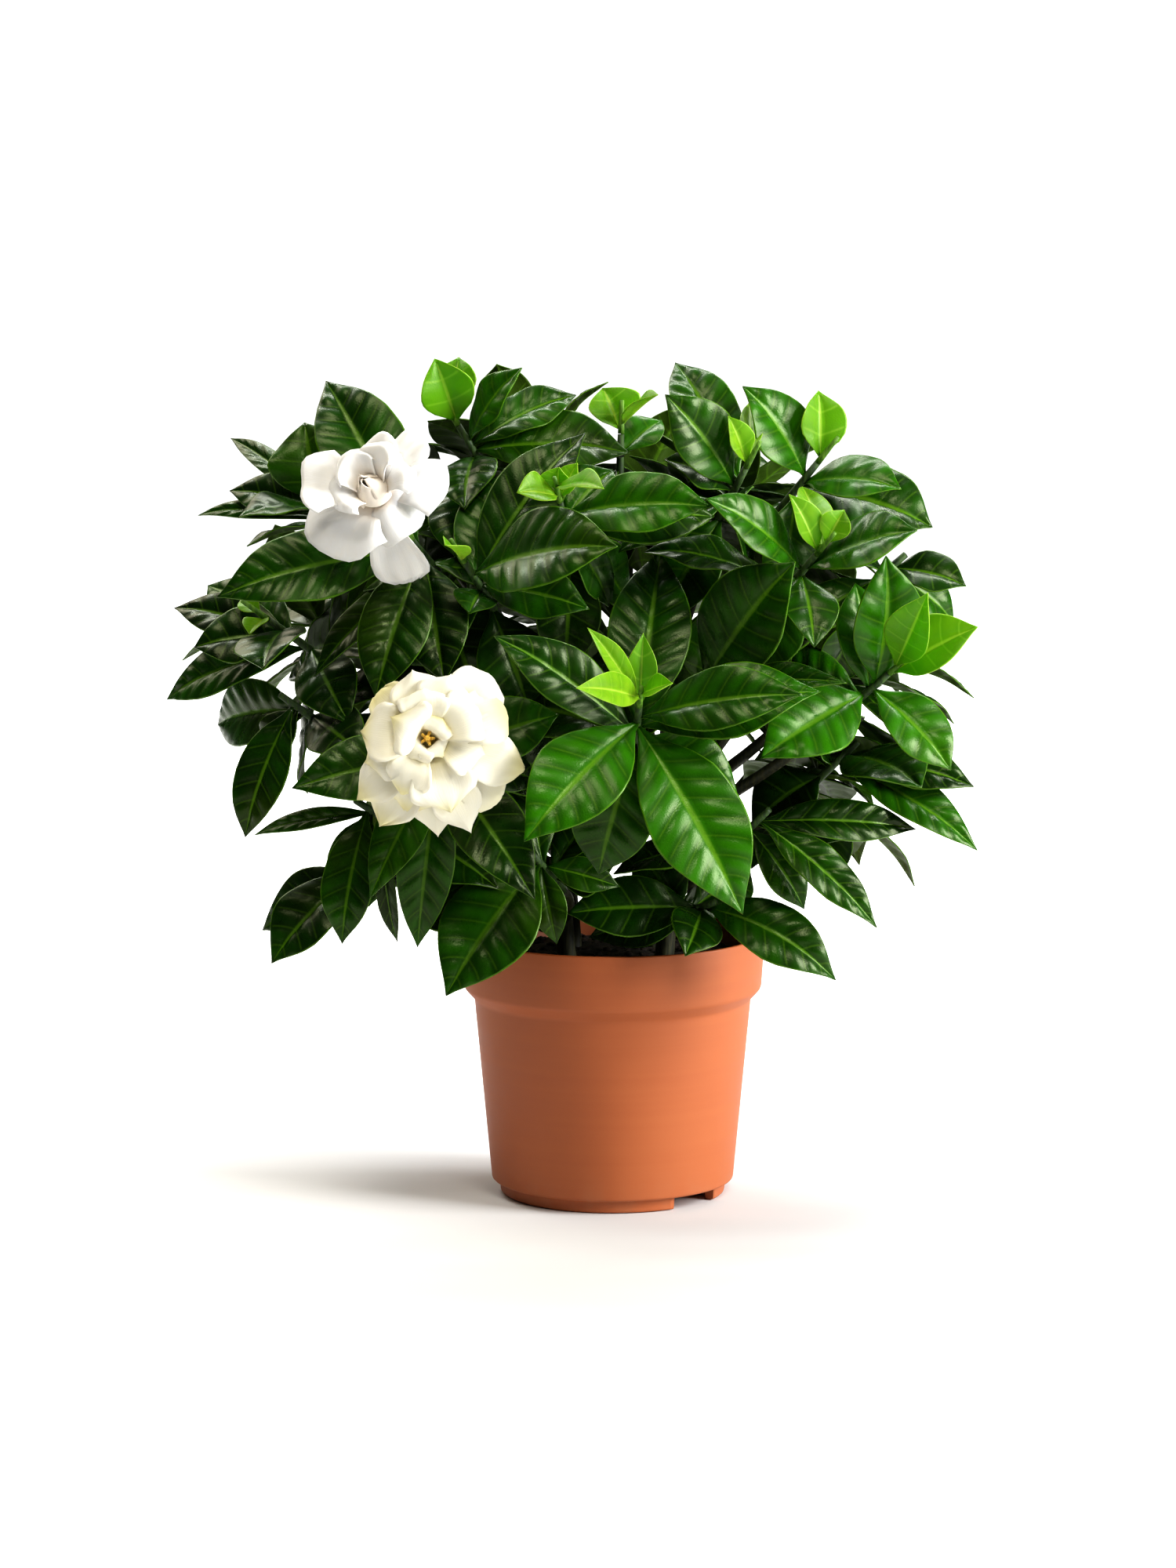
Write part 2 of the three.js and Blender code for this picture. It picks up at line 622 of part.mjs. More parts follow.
// Soil: the root ball, with a plain round hole for each cutting
function soilBody() {
  const inset = WALL + SOIL_GAP;
  const ball = solid(turned([
    [0, FLOOR_TOP_Z + GAP],
    [BODY_FOOT_RADIUS - inset, FLOOR_TOP_Z + EDGE + GAP],
    [BODY_TOP_RADIUS - inset, BODY_TOP_Z + LIP],
    [BAND_FOOT_RADIUS - inset, BAND_FOOT_Z + LIP],
    [BAND_FOOT_RADIUS - WALL, SOIL_EDGE_Z],
    SOIL_SHOULDER,
    SOIL_CROWN,
    [0, SOIL_TOP_Z],
  ], SOIL_SIDES));
  const radius = CUTTING_RADIUS + HOLE_CLEARANCE;
  const holes = CUTTINGS.map(({ foot }) => solid(
    new THREE.CylinderGeometry(radius, radius, HOLE_DEPTH, HOLE_SIDES)
      .rotateX(Math.PI / 2)
      .translate(foot[0], foot[1], CUTTING_ROOT_Z - GAP + HOLE_DEPTH / 2),
  ));
  return ball.subtract(fuse(holes));
}

// Where a shoot's stem runs: its apex, the way it points and its foot
function stemOf(shoot) {
  let apex;
  let way;
  if (shoot.bloom === undefined) {
    apex = shoot.point ?? seen(shoot.apex);
    const heart = vec(
      HEART_SHARE * apex.x,
      HEART_SHARE * apex.y,
      Math.max(apex.z - HEART_DROP, FORK_LOW_Z),
    );
    way = sum(apex, heart, -1).normalize();
  } else {
    const bloom = BLOOMS[shoot.bloom];
    way = vec(...bloom.facing).normalize();
    const below = RECEPTACLE_DEPTH + FLOWER_TUBE + 2 * GAP + STEM_ABOVE;
    apex = sum(seen(bloom.centre), way, -below);
  }
  return { apex, way, foot: sum(apex, way, -STEM_BELOW) };
}

// Shoots of the back, the sides and the top, spread over the crown where none stands yet
function fillShoots(taken) {
  const made = [];
  const apexes = [...taken];
  const goldenTurn = Math.PI * (3 - Math.sqrt(5));
  for (let i = 0; i < FILL_SPOTS; i++) {
    const height = 1 - ((i + 0.5) / FILL_SPOTS) * FILL_LOWEST;
    const flat = Math.sqrt(1 - height * height);
    const point = vec(
      CROWN_CENTRE[0] + CROWN_APEX_RADII[0] * flat * Math.cos(i * goldenTurn),
      CROWN_CENTRE[1] + CROWN_APEX_RADII[1] * flat * Math.sin(i * goldenTurn),
      CROWN_CENTRE[2] + CROWN_APEX_RADII[2] * height,
    );
    const near = Math.min(...apexes.map((other) => other.distanceTo(point)));
    if (near < FILL_SPACING || point.y < FILL_FRONT_Y || made.length >= FILL_SHOOTS) continue;
    apexes.push(point);
    made.push({ name: "back_" + (made.length + 1), point, leaves: [], young: [] });
  }
  return made;
}

// Where a leaf for `tip` grows from the stem, `height` above its apex
function rootOn(stem, height, tip) {
  const middle = sum(stem.apex, stem.way, height);
  return sum(middle, squareTo(sum(tip, middle, -1), stem.way), ROOT_OFFSET);
}

// The way a leaf's upper side looks: along its stem, up and towards the light
function faceOf(stem, lightShare) {
  const upwards = sum(stem.way.clone().multiplyScalar(FACE_ALONG_STEM), UP, FACE_UP);
  return sum(upwards, vec(...LIGHT_WAY), lightShare);
}

// A leaf that the picture shows, from its row in the list
function shownLeaf(stem, [across, up, depth, width, roll = 0, ownArch], height, usualArch) {
  const tip = seen([across, up, depth]);
  return {
    root: rootOn(stem, height, tip), tip, width: width * reachOf(depth), roll,
    arch: ownArch ?? usualArch, height, face: faceOf(stem, TOWARDS_VIEWER), shown: true,
  };
}

// A leaf placed by rule: around the stem, leaning further out the lower it stands
function ruledLeaf(stem, index, around, inwards) {
  const low = index / (MOST_LEAVES - 1);
  const lean = radians(LEAN_HIGH + LEAN_GROWTH * low + draw(...LEAN_SPREAD));
  const length = LENGTH_HIGH + LENGTH_GROWTH * low + draw(...LENGTH_SPREAD);
  const out = startOf(stem.way).applyAxisAngle(stem.way, around);
  const height = -FIRST_ROOT - ROOT_STEP * index;
  const tip = sum(
    sum(stem.apex, stem.way, height + length * Math.cos(lean)),
    out,
    length * Math.sin(lean),
  );
  tip.z = Math.max(tip.z - DROOP * length * Math.sin(lean), LOWEST_TIP_Z);
  tip.lerp(vec(...CROWN_CENTRE), inwards);
  return {
    root: rootOn(stem, height, tip), tip, width: length * draw(...WIDTH_SHARE),
    roll: draw(...ROLL_SPREAD), arch: LEAF_ARCH + draw(...ARCH_SPREAD), height,
    face: faceOf(stem, 0), shown: false,
  };
}

// Every leaf of a shoot before any is moved clear of its neighbours
function leavesOf(shoot, stem) {
  const leaves = shoot.leaves.map((row, index) => (
    shownLeaf(stem, row, -FIRST_ROOT - ROOT_STEP * index, LEAF_ARCH)
  ));
  const start = draw(0, 2 * Math.PI);
  const ruled = Math.max(FEWEST_EXTRA, MOST_LEAVES - leaves.length);
  const inwards = leaves.length ? INWARDS : 0;
  for (let k = 0; k < ruled; k++) {
    leaves.push(ruledLeaf(stem, leaves.length, start + k * NEXT_LEAF_TURN, inwards));
  }
  return leaves;
}

// Small moves that bring a leaf clear, the least first
function movesFor({ lifts, sidesteps, sizes }) {
  const bothWays = (list) => [0, ...list.flatMap((value) => [value, -value])];
  const moves = [];
  for (const lift of bothWays(lifts)) {
    for (const sidestep of bothWays(sidesteps)) {
      for (const roll of bothWays(ROLLS)) {
        for (const size of sizes) {
          const cost = Math.abs(lift) + SIDESTEP_COST * Math.abs(sidestep)
            + ROLL_COST * Math.abs(roll) + SMALLER_COST * (1 - size);
          moves.push({ lift, sidestep, roll, size, cost });
        }
      }
    }
  }
  return moves.sort((a, b) => a.cost - b.cost);
}
const shownMoves = movesFor(SHOWN_MOVES);
const ruledMoves = movesFor(RULED_MOVES);

// A leaf's blade after a move. A leaf that the picture shows is moved along the line of
// sight, so it stays where the viewer sees it.
function movedLeaf(leaf, move, shape) {
  const chord = sum(leaf.tip, leaf.root, -1);
  const along = chord.clone().normalize();
  const normal = squareTo(leaf.face, along);
  const sight = sum(leaf.tip, vec(...EYE), -1).normalize();
  const lifted = sum(leaf.tip, leaf.shown ? sight : normal, move.lift);
  const aside = sum(lifted, normal.clone().cross(along), move.sidestep);
  const tip = leaf.root.clone().lerp(aside, move.size);
  const reach = tip.distanceTo(leaf.root);
  const middle = sum(leaf.root.clone().lerp(tip, 0.5), normal, leaf.arch * reach);
  return {
    root: leaf.root, middle, tip, face: normal, roll: leaf.roll + move.roll,
    width: leaf.width * move.size, fold: LEAF_FOLD, shape, thickness: LEAF_THICKNESS,
    rootWidth: LEAF_ROOT_WIDTH, rootDepth: LEAF_ROOT_DEPTH,
  };
}

// Everything placed so far, for keeping new leaves clear of it. Of a leaf, `outer` is the
// blade without its root, which the neighbours on the same stem keep clear of.
const placed = [];
function place(owner, body, outer = null) {
  const outerBox = outer ? outer.boundingBox() : null;
  placed.push({ owner, body, outer, box: body.boundingBox(), outerBox });
}

function apart(a, b) {
  return AXES.some((k) => a.max[k] < b.min[k] || b.max[k] < a.min[k]);
}

function meets(a, b) {
  const common = a.intersect(b);
  const met = !common.isEmpty();
  common.delete();
  return met;
}

// Whether a leaf's blade, with room around it, meets anything placed so far
function isBlocked(owner, wanted) {
  const thick = {
    ...wanted,
    width: wanted.width + 2 * CLEARANCE,
    thickness: LEAF_THICKNESS + 2 * CLEARANCE,
    rootWidth: LEAF_ROOT_WIDTH + ROOT_CLEARANCE * CLEARANCE,
    rootDepth: LEAF_ROOT_DEPTH + ROOT_CLEARANCE * CLEARANCE,
  };
  const whole = blade(thick);
  const outer = blade(thick, TRIM);
  const wholeBox = whole.boundingBox();
  const outerBox = outer.boundingBox();
  const blocked = placed.some((item) => (item.owner === owner
    ? item.outer && !apart(outerBox, item.outerBox) && meets(outer, item.outer)
    : !apart(wholeBox, item.box) && meets(whole, item.body)));
  whole.delete();
  outer.delete();
  return blocked;
}

// The skins of all stems and of the leaves that have found room
const skins = [];
function boxOf(triangles) {
  return triangles.reduce((box, triangle) => box.union(triangle.box), new THREE.Box3());
}

function addSkin(triangles) {
  skins.push({ triangles, box: boxOf(triangles) });
}

// Whether a leaf's own skin, root included, crosses itself or any skin placed so far
function isTangled(grown) {
  const box = boxOf(grown);
  return crosses(grown, grown) || skins.some((skin) => (
    skin.box.intersectsBox(box) && crosses(grown, skin.triangles)
  ));
}

// The leaves of one piece, each after the first move that keeps it clear of other pieces, of
// its own stem and of the leaves beside it. A leaf that finds no room is left out.
function settled(owner, stem, span, leaves, shapeOf) {
  const found = [];
  leaves.forEach((leaf, index) => {
    const shape = shapeOf(leaf);
    for (const move of leaf.shown ? shownMoves : ruledMoves) {
      const wanted = { height: leaf.height, shape: movedLeaf(leaf, move, shape) };
      const grown = grownLeaf(stem, span, wanted);
      if (isTangled(grown) || isBlocked(owner, wanted.shape)) continue;
      addSkin(grown);
      found.push(wanted);
      place(owner, blade(wanted.shape), blade(wanted.shape, TRIM));
      return;
    }
    leftOut.push(owner + " " + index);
  });
  return found;
}

// Materials
function material(color, roughness, metalness = 0) {
  return new THREE.MeshStandardMaterial({ color, roughness, metalness });
}
const potPlastic = material(0xc56f45, 0.55);
const pottingSoil = material(0x1d1511, 0.95);
const wood = material(0x5d5a35, 0.8);
const matureLeaf = material(0x1d4a12, 0.3);
const youngLeaf = material(0x74ab2a, 0.4);
const calyxGreen = material(0x7fae3a, 0.5);
const petal = material(0xf7f5ee, 0.6);
const stamenYellow = material(0xc9962a, 0.6);

const plant = new THREE.Group();
plant.name = "potted_gardenia";
const leftOut = [];

const pot = potBody();
const soil = soilBody();
place("pot", pot);
place("potting_soil", soil);
plant.add(piece("pot", pot, potPlastic));
plant.add(piece("potting_soil", soil, pottingSoil));

// Stems of all shoots, the shown ones first
const shown = SHOOTS.map((shoot) => ({ shoot, stem: stemOf(shoot) }));
const filled = fillShoots(shown.map(({ stem }) => stem.apex))
  .map((shoot) => ({ shoot, stem: stemOf(shoot) }));
const shoots = [...shown, ...filled];

// Each cutting carries the branches to the shoots of its own quarter
function cuttingBody(foot, feet) {
  const rise = (z) => (
    1 + (CUTTING_LEAN * Math.max(0, z - SOIL_TOP_Z)) / (CUTTING_TOP_Z - SOIL_TOP_Z)
  );
  const at = (z) => vec(foot[0] * rise(z), foot[1] * rise(z), z);
  const trunk = rod(
    [at(CUTTING_ROOT_Z), at(SOIL_TOP_Z), at(CUTTING_WAIST_Z), at(CUTTING_TOP_Z)],
    [CUTTING_ROOT_RADIUS, CUTTING_RADIUS, CUTTING_WAIST_RADIUS, CUTTING_TOP_RADIUS],
    CUTTING_SIDES,
  );
  const branches = feet.map(({ stem }) => {
    const end = sum(stem.foot, stem.way, -GAP);
    const spread = Math.hypot(end.x - foot[0], end.y - foot[1]);
    const forkZ = Math.min(Math.max(end.z - FORK_DROP * spread, FORK_LOW_Z), FORK_HIGH_Z);
    const fork = at(forkZ);
    const middle = sum(end, stem.way, -BRANCH_BEND * fork.distanceTo(end));
    return rod(
      bend(fork, middle, end, BRANCH_STEPS),
      [BRANCH_RADIUS, (BRANCH_RADIUS + STEM_FOOT_RADIUS) / 2, STEM_FOOT_RADIUS],
      BRANCH_SIDES,
      stem.way,
    );
  });
  return fuse([trunk, ...branches]);
}

for (const { name, foot } of CUTTINGS) {
  const mine = shoots.filter(({ stem }) => (
    stem.foot.x > 0 === foot[0] > 0 && stem.foot.y > 0 === foot[1] > 0
  ));
  const body = cuttingBody(foot, mine);
  place(name, body);
  plant.add(piece(name, body, wood));
}

// Blooms: petals on a receptacle, a green tube with sepals behind them
function bloomFrame(bloom) {
  const centre = seen(bloom.centre);
  const facing = vec(...bloom.facing).normalize();
  const out = (angle) => vec(Math.cos(radians(angle)), 0, Math.sin(radians(angle)));
  return { centre, facing, out };
}

function petalBlade(bloom, [angle, seenLength, seenWidth, lift, height]) {
  const { centre, facing, out } = bloomFrame(bloom);
  const length = seenLength * reachOf(bloom.centre[2]);
  const width = seenWidth * reachOf(bloom.centre[2]);
  const way = out(angle);
  const root = sum(centre, squareTo(way, facing), PETAL_ROOT_RADIUS);
  const tip = sum(sum(centre, way, length), facing, height);
  const middle = sum(root.clone().lerp(tip, PETAL_BEND), facing, lift);
  const shape = seenLength > SHORT_PETAL ? PETAL_BLADE : INNER_PETAL_BLADE;
  return blade({
    root, middle, tip, face: facing, roll: 0, width, fold: PETAL_FOLD, shape,
    thickness: PETAL_THICKNESS, rootWidth: PETAL_ROOT_WIDTH, rootDepth: PETAL_THICKNESS,
  });
}

function bloomBody(bloom) {
  const { centre, facing } = bloomFrame(bloom);
  const receptacle = rod(
    [sum(centre, facing, -RECEPTACLE_DEPTH), sum(centre, facing, RECEPTACLE_TOP)],
    [RECEPTACLE_FOOT_RADIUS, RECEPTACLE_RADIUS],
    RECEPTACLE_SIDES,
  );
  return fuse([receptacle, ...bloom.petals.map((row) => petalBlade(bloom, row))]);
}

function calyxBody(bloom) {
  const { centre, facing, out } = bloomFrame(bloom);
  const top = sum(centre, facing, -RECEPTACLE_DEPTH - GAP);
  const tube = rod(
    [top, sum(top, facing, -TUBE_THROAT), sum(top, facing, -FLOWER_TUBE)],
    TUBE_RADII,
    TUBE_SIDES,
  );
  const sepals = bloom.sepals.map(([angle, length, height]) => {
    const way = out(angle);
    const root = sum(top, facing, -SEPAL_ROOT);
    const tip = sum(sum(centre, way, length), facing, height);
    return blade({
      root, middle: sum(root.clone().lerp(tip, 0.5), facing, SEPAL_SAG), tip, face: facing,
      roll: 0, width: SEPAL_WIDTH, fold: 0, shape: SMALL_BLADE, thickness: LEAF_THICKNESS,
      rootWidth: PETAL_ROOT_WIDTH, rootDepth: LEAF_THICKNESS,
    });
  });
  return fuse([tube, ...sepals]);
}

// Stamens: a short column with anthers round its head
function stamenBody(bloom) {
  const { centre, facing, out } = bloomFrame(bloom);
  const foot = sum(centre, facing, RECEPTACLE_TOP + GAP);
  const head = sum(foot, facing, STYLE_HEIGHT);
  const column = rod([foot, head, sum(head, facing, STYLE_TIP)], STYLE_RADII, TUBE_SIDES);
  const anthers = Array.from({ length: ANTHERS }, (_, i) => {
    const way = squareTo(out((i * 360) / ANTHERS), facing);
    const start = sum(head, facing, ANTHER_ROOT);
    const end = sum(sum(head, way, ANTHER_REACH), facing, ANTHER_RISE);
    return rod([start, end], ANTHER_RADII, STEM_SIDES);
  });
  return fuse([column, ...anthers]);
}

BLOOMS.forEach((bloom, i) => {
  const petals = bloomBody(bloom);
  const calyx = calyxBody(bloom);
  place(bloom.name, petals);
  place("calyx_" + (i + 1), calyx);
  plant.add(piece(bloom.name, petals, petal));
  plant.add(piece("calyx_" + (i + 1), calyx, calyxGreen));
});
const stamens = stamenBody(BLOOMS[1]);
place("stamens_2", stamens);
plant.add(piece("stamens_2", stamens, stamenYellow));

// The leafy part of every stem and the young tip above it, from height to height along it
const youngFoot = STEM_ABOVE + GAP;
const leafySpan = {
  foot: -STEM_BELOW, top: STEM_ABOVE, footRadius: STEM_FOOT_RADIUS, topRadius: STEM_TOP_RADIUS,
};
const youngSpan = {
  foot: youngFoot, top: youngFoot + YOUNG_TIP,
  footRadius: STEM_TOP_RADIUS, topRadius: YOUNG_TIP_RADIUS,
};

// Stems first, then the young leaves, then the others from the shown shoots to the filled ones
function placeStem(owner, stem, span) {
  const bare = sprig(stem, span, []);
  addSkin(trianglesOf(bare));
  place(owner, bare.close());
}

for (const { shoot, stem } of shoots) {
  placeStem(shoot.name, stem, leafySpan);
  if (shoot.young.length) placeStem("young_" + shoot.name, stem, youngSpan);
}

for (const { shoot, stem } of shoots) {
  if (!shoot.young.length) continue;
  const name = "young_" + shoot.name;
  const leaves = shoot.young.map((row, index) => (
    shownLeaf(stem, row, youngFoot + YOUNG_FIRST + ROOT_STEP * index, YOUNG_ARCH)
  ));
  const found = settled(name, stem, youngSpan, leaves, ({ width }) => (
    width > SMALL_LEAF ? PLAIN_BLADE : SMALL_BLADE
  ));
  plant.add(piece(name, sprig(stem, youngSpan, found).close(), youngLeaf));
}

for (const { shoot, stem } of shoots) {
  const found = settled(shoot.name, stem, leafySpan, leavesOf(shoot, stem), (leaf) => (
    leaf.shown && leaf.width >= BROAD_LEAF ? BROAD_BLADE : PLAIN_BLADE
  ));
  plant.add(piece("shoot_" + shoot.name, sprig(stem, leafySpan, found).close(), matureLeaf));
}

plant.userData.leavesLeftOut = leftOut;
export default plant;
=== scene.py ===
"""Looks of a potted gardenia: leaves, blooms, stems, soil and the plastic nursery pot.

Metres, +Z up, the front with the blooms towards -Y. The leaves follow the blades of the
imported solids, so each one stands where its solid does.
"""
import math
import random
from itertools import combinations

import bmesh
import bpy
import numpy as np
from mathutils import Matrix, Vector, noise


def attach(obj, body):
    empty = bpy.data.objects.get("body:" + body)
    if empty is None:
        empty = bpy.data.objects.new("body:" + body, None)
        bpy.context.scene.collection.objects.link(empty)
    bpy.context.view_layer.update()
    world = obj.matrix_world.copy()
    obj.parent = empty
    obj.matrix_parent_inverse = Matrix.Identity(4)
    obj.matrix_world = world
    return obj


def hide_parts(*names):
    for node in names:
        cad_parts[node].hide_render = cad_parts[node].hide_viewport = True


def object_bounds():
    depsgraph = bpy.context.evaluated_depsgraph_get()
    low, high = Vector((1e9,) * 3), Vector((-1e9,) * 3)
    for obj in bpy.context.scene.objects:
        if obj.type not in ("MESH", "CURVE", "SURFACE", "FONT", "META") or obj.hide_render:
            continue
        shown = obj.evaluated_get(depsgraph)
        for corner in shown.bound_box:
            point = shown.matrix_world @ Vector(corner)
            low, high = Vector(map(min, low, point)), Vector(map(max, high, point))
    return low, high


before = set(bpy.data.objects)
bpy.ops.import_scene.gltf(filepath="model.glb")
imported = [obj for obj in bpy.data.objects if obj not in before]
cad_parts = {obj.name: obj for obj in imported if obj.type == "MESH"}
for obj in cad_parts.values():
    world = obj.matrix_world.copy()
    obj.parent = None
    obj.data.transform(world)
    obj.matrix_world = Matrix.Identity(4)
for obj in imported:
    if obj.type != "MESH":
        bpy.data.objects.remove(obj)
solid_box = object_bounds()

MM = 0.001
UP = Vector((0, 0, 1))
SEED = 11
JOINED = 2e-6

# Viewer. As the view is tilted down, a height is RISE times what it looks
EYE = Vector((-9.7, -2200, 491)) * MM
AIM = Vector((-9.7, 0, 162)) * MM
RISE = 1.011
LENS = 130.4
SENSOR = 36
FAR_CLIP = 50

# Stage and light, metres. A lamp is its place, aim, size, power and colour
FLOOR_RADIUS = 2.2
FLOOR_STEPS = 96
FLOOR_DROP = 0.0002
FLOOR_COLOURS = ((0.64, 0.64, 0.64), (0.67, 0.67, 0.67))
FLOOR_ROUGHNESS = 0.9
ROOM_COLOUR = (1, 1, 1, 1)
ROOM_SEEN = 1.0
ROOM_LIGHT = 0.03
LAMPS = {
    "window": ((1.65, -0.6, 0.85), (0, 0, 0.17), (0.9, 1.1), 64, (1.0, 1.0, 1.0)),
    "back_window": ((-1.0, 1.1, 1.2), (0, 0, 0.2), (1.3, 0.7), 8, (1.0, 0.90, 0.72)),
    "top_window": ((-0.5, -0.5, 1.8), (0, 0, 0.2), (0.8, 0.6), 12, (1.0, 0.93, 0.78)),
    "front_window": ((0.35, -1.3, 1.5), (0, 0, 0.2), (0.45, 0.35), 9, (1.0, 0.95, 0.84)),
    "floor_wash": ((0, 0.9, 1.6), (0, 2.3, 0), (2.4, 0.5), 120, (1, 1, 1)),
}

# Pot, millimetres. Rounding takes its reach from both ends of an edge
POT_STEPS = 144
POT_ROUNDING = 1.1
ROUNDING_STEPS = 3
EDGE_PER_ROUNDING = 2.2
POT_HEIGHT = 104
RIM_RADIUS = 60
BAND_FOOT_Z = 82
BAND_FOOT_RADIUS = 58.6
BAND_SLACK = 0.1
BODY_TOP_Z = 77.5
BODY_TOP_RADIUS = 54.4
BODY_FOOT_RADIUS = 47.8
BODY_FOOT_SLACK = 0.2
BODY_FOOT_RISE = 0.3
WALL = 1.5
FOOT_RADIUS = 44.2
FOOT_FLARE = 0.3
FOOT_INNER_RADIUS = 40
FOOT_INNER_FLARE = 0.4
FOOT_HEIGHT = 5
FLOOR_UNDER_Z = 4.2
FLOOR_TOP_Z = 5.8
PAD_RADIUS = 12
PAD_FLARE = 0.8
NOTCH_AZIMUTHS = (-42.5, 137.5)
NOTCH_WIDTH = 23
NOTCH_DEPTH = 16
DRAIN_HOLES = 6
DRAIN_RADIUS = 4
DRAIN_RING_RADIUS = 26
DRAIN_STEPS = 24

# Soil, millimetres. A wave of its surface is [length, height]
SOIL_EDGE_Z = 92
SOIL_TOP_Z = 95
SOIL_GAP = 0.6
SOIL_RINGS = 20
SOIL_STEPS = 72
SOIL_WAVES = ((14, 1.4), (4.5, 0.8))
SOIL_SURFACE_DEPTH = 1
STILL_EDGE = 0.5
CRUMBS = 260
CRUMB_SIZES = (0.7, 2.6)
CRUMB_STRETCHES = ((0.6, 1.5), (0.6, 1.2), (0.4, 0.8))
CRUMB_MARGIN = 3

# Cuttings, millimetres
CUTTINGS = {
    "cutting_front_right": (20, -18),
    "cutting_front_left": (-18, -16),
    "cutting_back_left": (-16, 17),
    "cutting_back_right": (16, 18),
}
CUTTING_ROOT_Z = 50
CUTTING_FLARE_Z = 96
CUTTING_WAIST_Z = 130
CUTTING_TOP_Z = 165
CUTTING_RADII = (3.6, 4, 3.4, 2.6)
CUTTING_SIDES = 10
CUTTING_LEAN = 0.3
FORK_LOW_Z = 106
FORK_HIGH_Z = 158
FORK_DROP = 0.6
BRANCH_BEND = 0.45
BRANCH_RADIUS = 2.6
BRANCH_SIDES = 7
BRANCH_STEPS = 6
GAP = 0.3
UPRIGHT = 0.9

# Blades of the solids. STATIONS gives, by how many sections a blade has, how far along it
# they stand and their shares of its full width
STATIONS = {
    1: ((0.5,), (1.04,)),
    2: ((0.36, 0.72), (0.92, 0.96)),
    3: ((0.3, 0.6, 0.85), (0.76, 1.04, 0.64)),
}
TIP_NEIGHBOURS = 4
SOLID_THICKNESS = 1.2 * MM
THICKNESS_SLACK = 0.03 * MM
SOLID_STEM_SIDES = 3
STEM_REFITS = 3

# Leaves. Pairs with no other word are the low and high ends of a draw or of a smooth step
LEAF_THICKNESS = 0.45 * MM
YOUNG_THICKNESS = 0.4 * MM
VEIN_SPACING = 8 * MM
FEWEST_VEINS = 3
MOST_VEINS = 11
VEIN_LEAN = 0.17
VEIN_ROUNDING = 0.8
VEIN_EASING = 0.4
VEIN_RELIEF = 0.9 * MM
YOUNG_RELIEF = VEIN_RELIEF * 0.4
RELIEF_SPREAD = (0.75, 1.2)
FULL_RELIEF_LENGTH = 50 * MM
QUILT_ROUNDING = 0.8
QUILT_EDGE_POWER = 5
QUILT_WIDTH = 6 * MM
QUILT_START = (0.0, 0.3)
GROOVE_DEPTH = 0.5 * MM
GROOVE_WIDTH = 1.1 * MM
GROOVED_WIDTH = 4 * MM
MARGIN_WAVE = 0.095
MARGIN_WAVE_SPREAD = (0.4, 1.2)
MARGIN_WAVES = (1.2, 2.4)
SIDES_APART = 1.3
HALF_BULGE = 0.035
FOLD = 0.13
YOUNG_FOLD = 0.42
YOUNG_BREADTH = 0.95
TWIST = 14
TWIST_FROM = 0.3
TIP_DROP = 0.05
DROPPING = (0.7, 1.25)
STEM_STEPS = 4
STEM_SIDES = 8
SHOWN_COLUMNS = (-1, -0.955, -0.78, -0.56, -0.34, -0.14, 0,
                 0.14, 0.34, 0.56, 0.78, 0.955, 1)
PLAIN_COLUMNS = (-1, -0.92, -0.55, -0.2, 0, 0.2, 0.55, 0.92, 1)
SHOWN_LEAF = {"rows_a_vein": 4, "columns": SHOWN_COLUMNS, "relief": VEIN_RELIEF,
              "fold": FOLD, "breadth": 1, "thickness": LEAF_THICKNESS}
PLAIN_LEAF = {**SHOWN_LEAF, "rows_a_vein": 3, "columns": PLAIN_COLUMNS}
YOUNG_LEAF = {"rows_a_vein": 4, "columns": PLAIN_COLUMNS, "relief": YOUNG_RELIEF,
              "fold": YOUNG_FOLD, "breadth": YOUNG_BREADTH, "thickness": YOUNG_THICKNESS}

# Outlines of a leaf as [station, share of the full width]
POINTED_OUTLINE = ((0, 0.05), (0.05, 0.11), (0.12, 0.3), (0.22, 0.62), (0.34, 0.88),
                   (0.44, 0.99), (0.53, 1.01), (0.63, 0.92), (0.73, 0.73), (0.81, 0.52),
                   (0.88, 0.31), (0.94, 0.14), (0.98, 0.05), (1, 0))
FULL_OUTLINE = ((0, 0.05), (0.05, 0.12), (0.12, 0.32), (0.22, 0.64), (0.34, 0.91),
                (0.46, 1.04), (0.57, 1.07), (0.68, 0.98), (0.78, 0.78), (0.86, 0.53),
                (0.92, 0.29), (0.96, 0.13), (0.988, 0.04), (1, 0))

# How light and yellow the leaves of a shoot are at its tip, by its name
FRESHNESS = {
    "front_star": 0.88, "mid_top": 0.6, "right_mid": 0.8, "right": 0.95, "right_top": 0.5,
    "right_crown": 0.6, "top_mid": 0.6, "top_left": 0.55, "mid_left": 0.4, "base_left": 0.5,
    "low_bloom": 0.45, "centre_back": 0.6, "right_low": 0.5, "base_right": 0.35,
}
USUAL_FRESHNESS = 0.25
FRESHNESS_SPREAD = (0.4, 1.2)
LEAST_TONE = (0, 0.3)

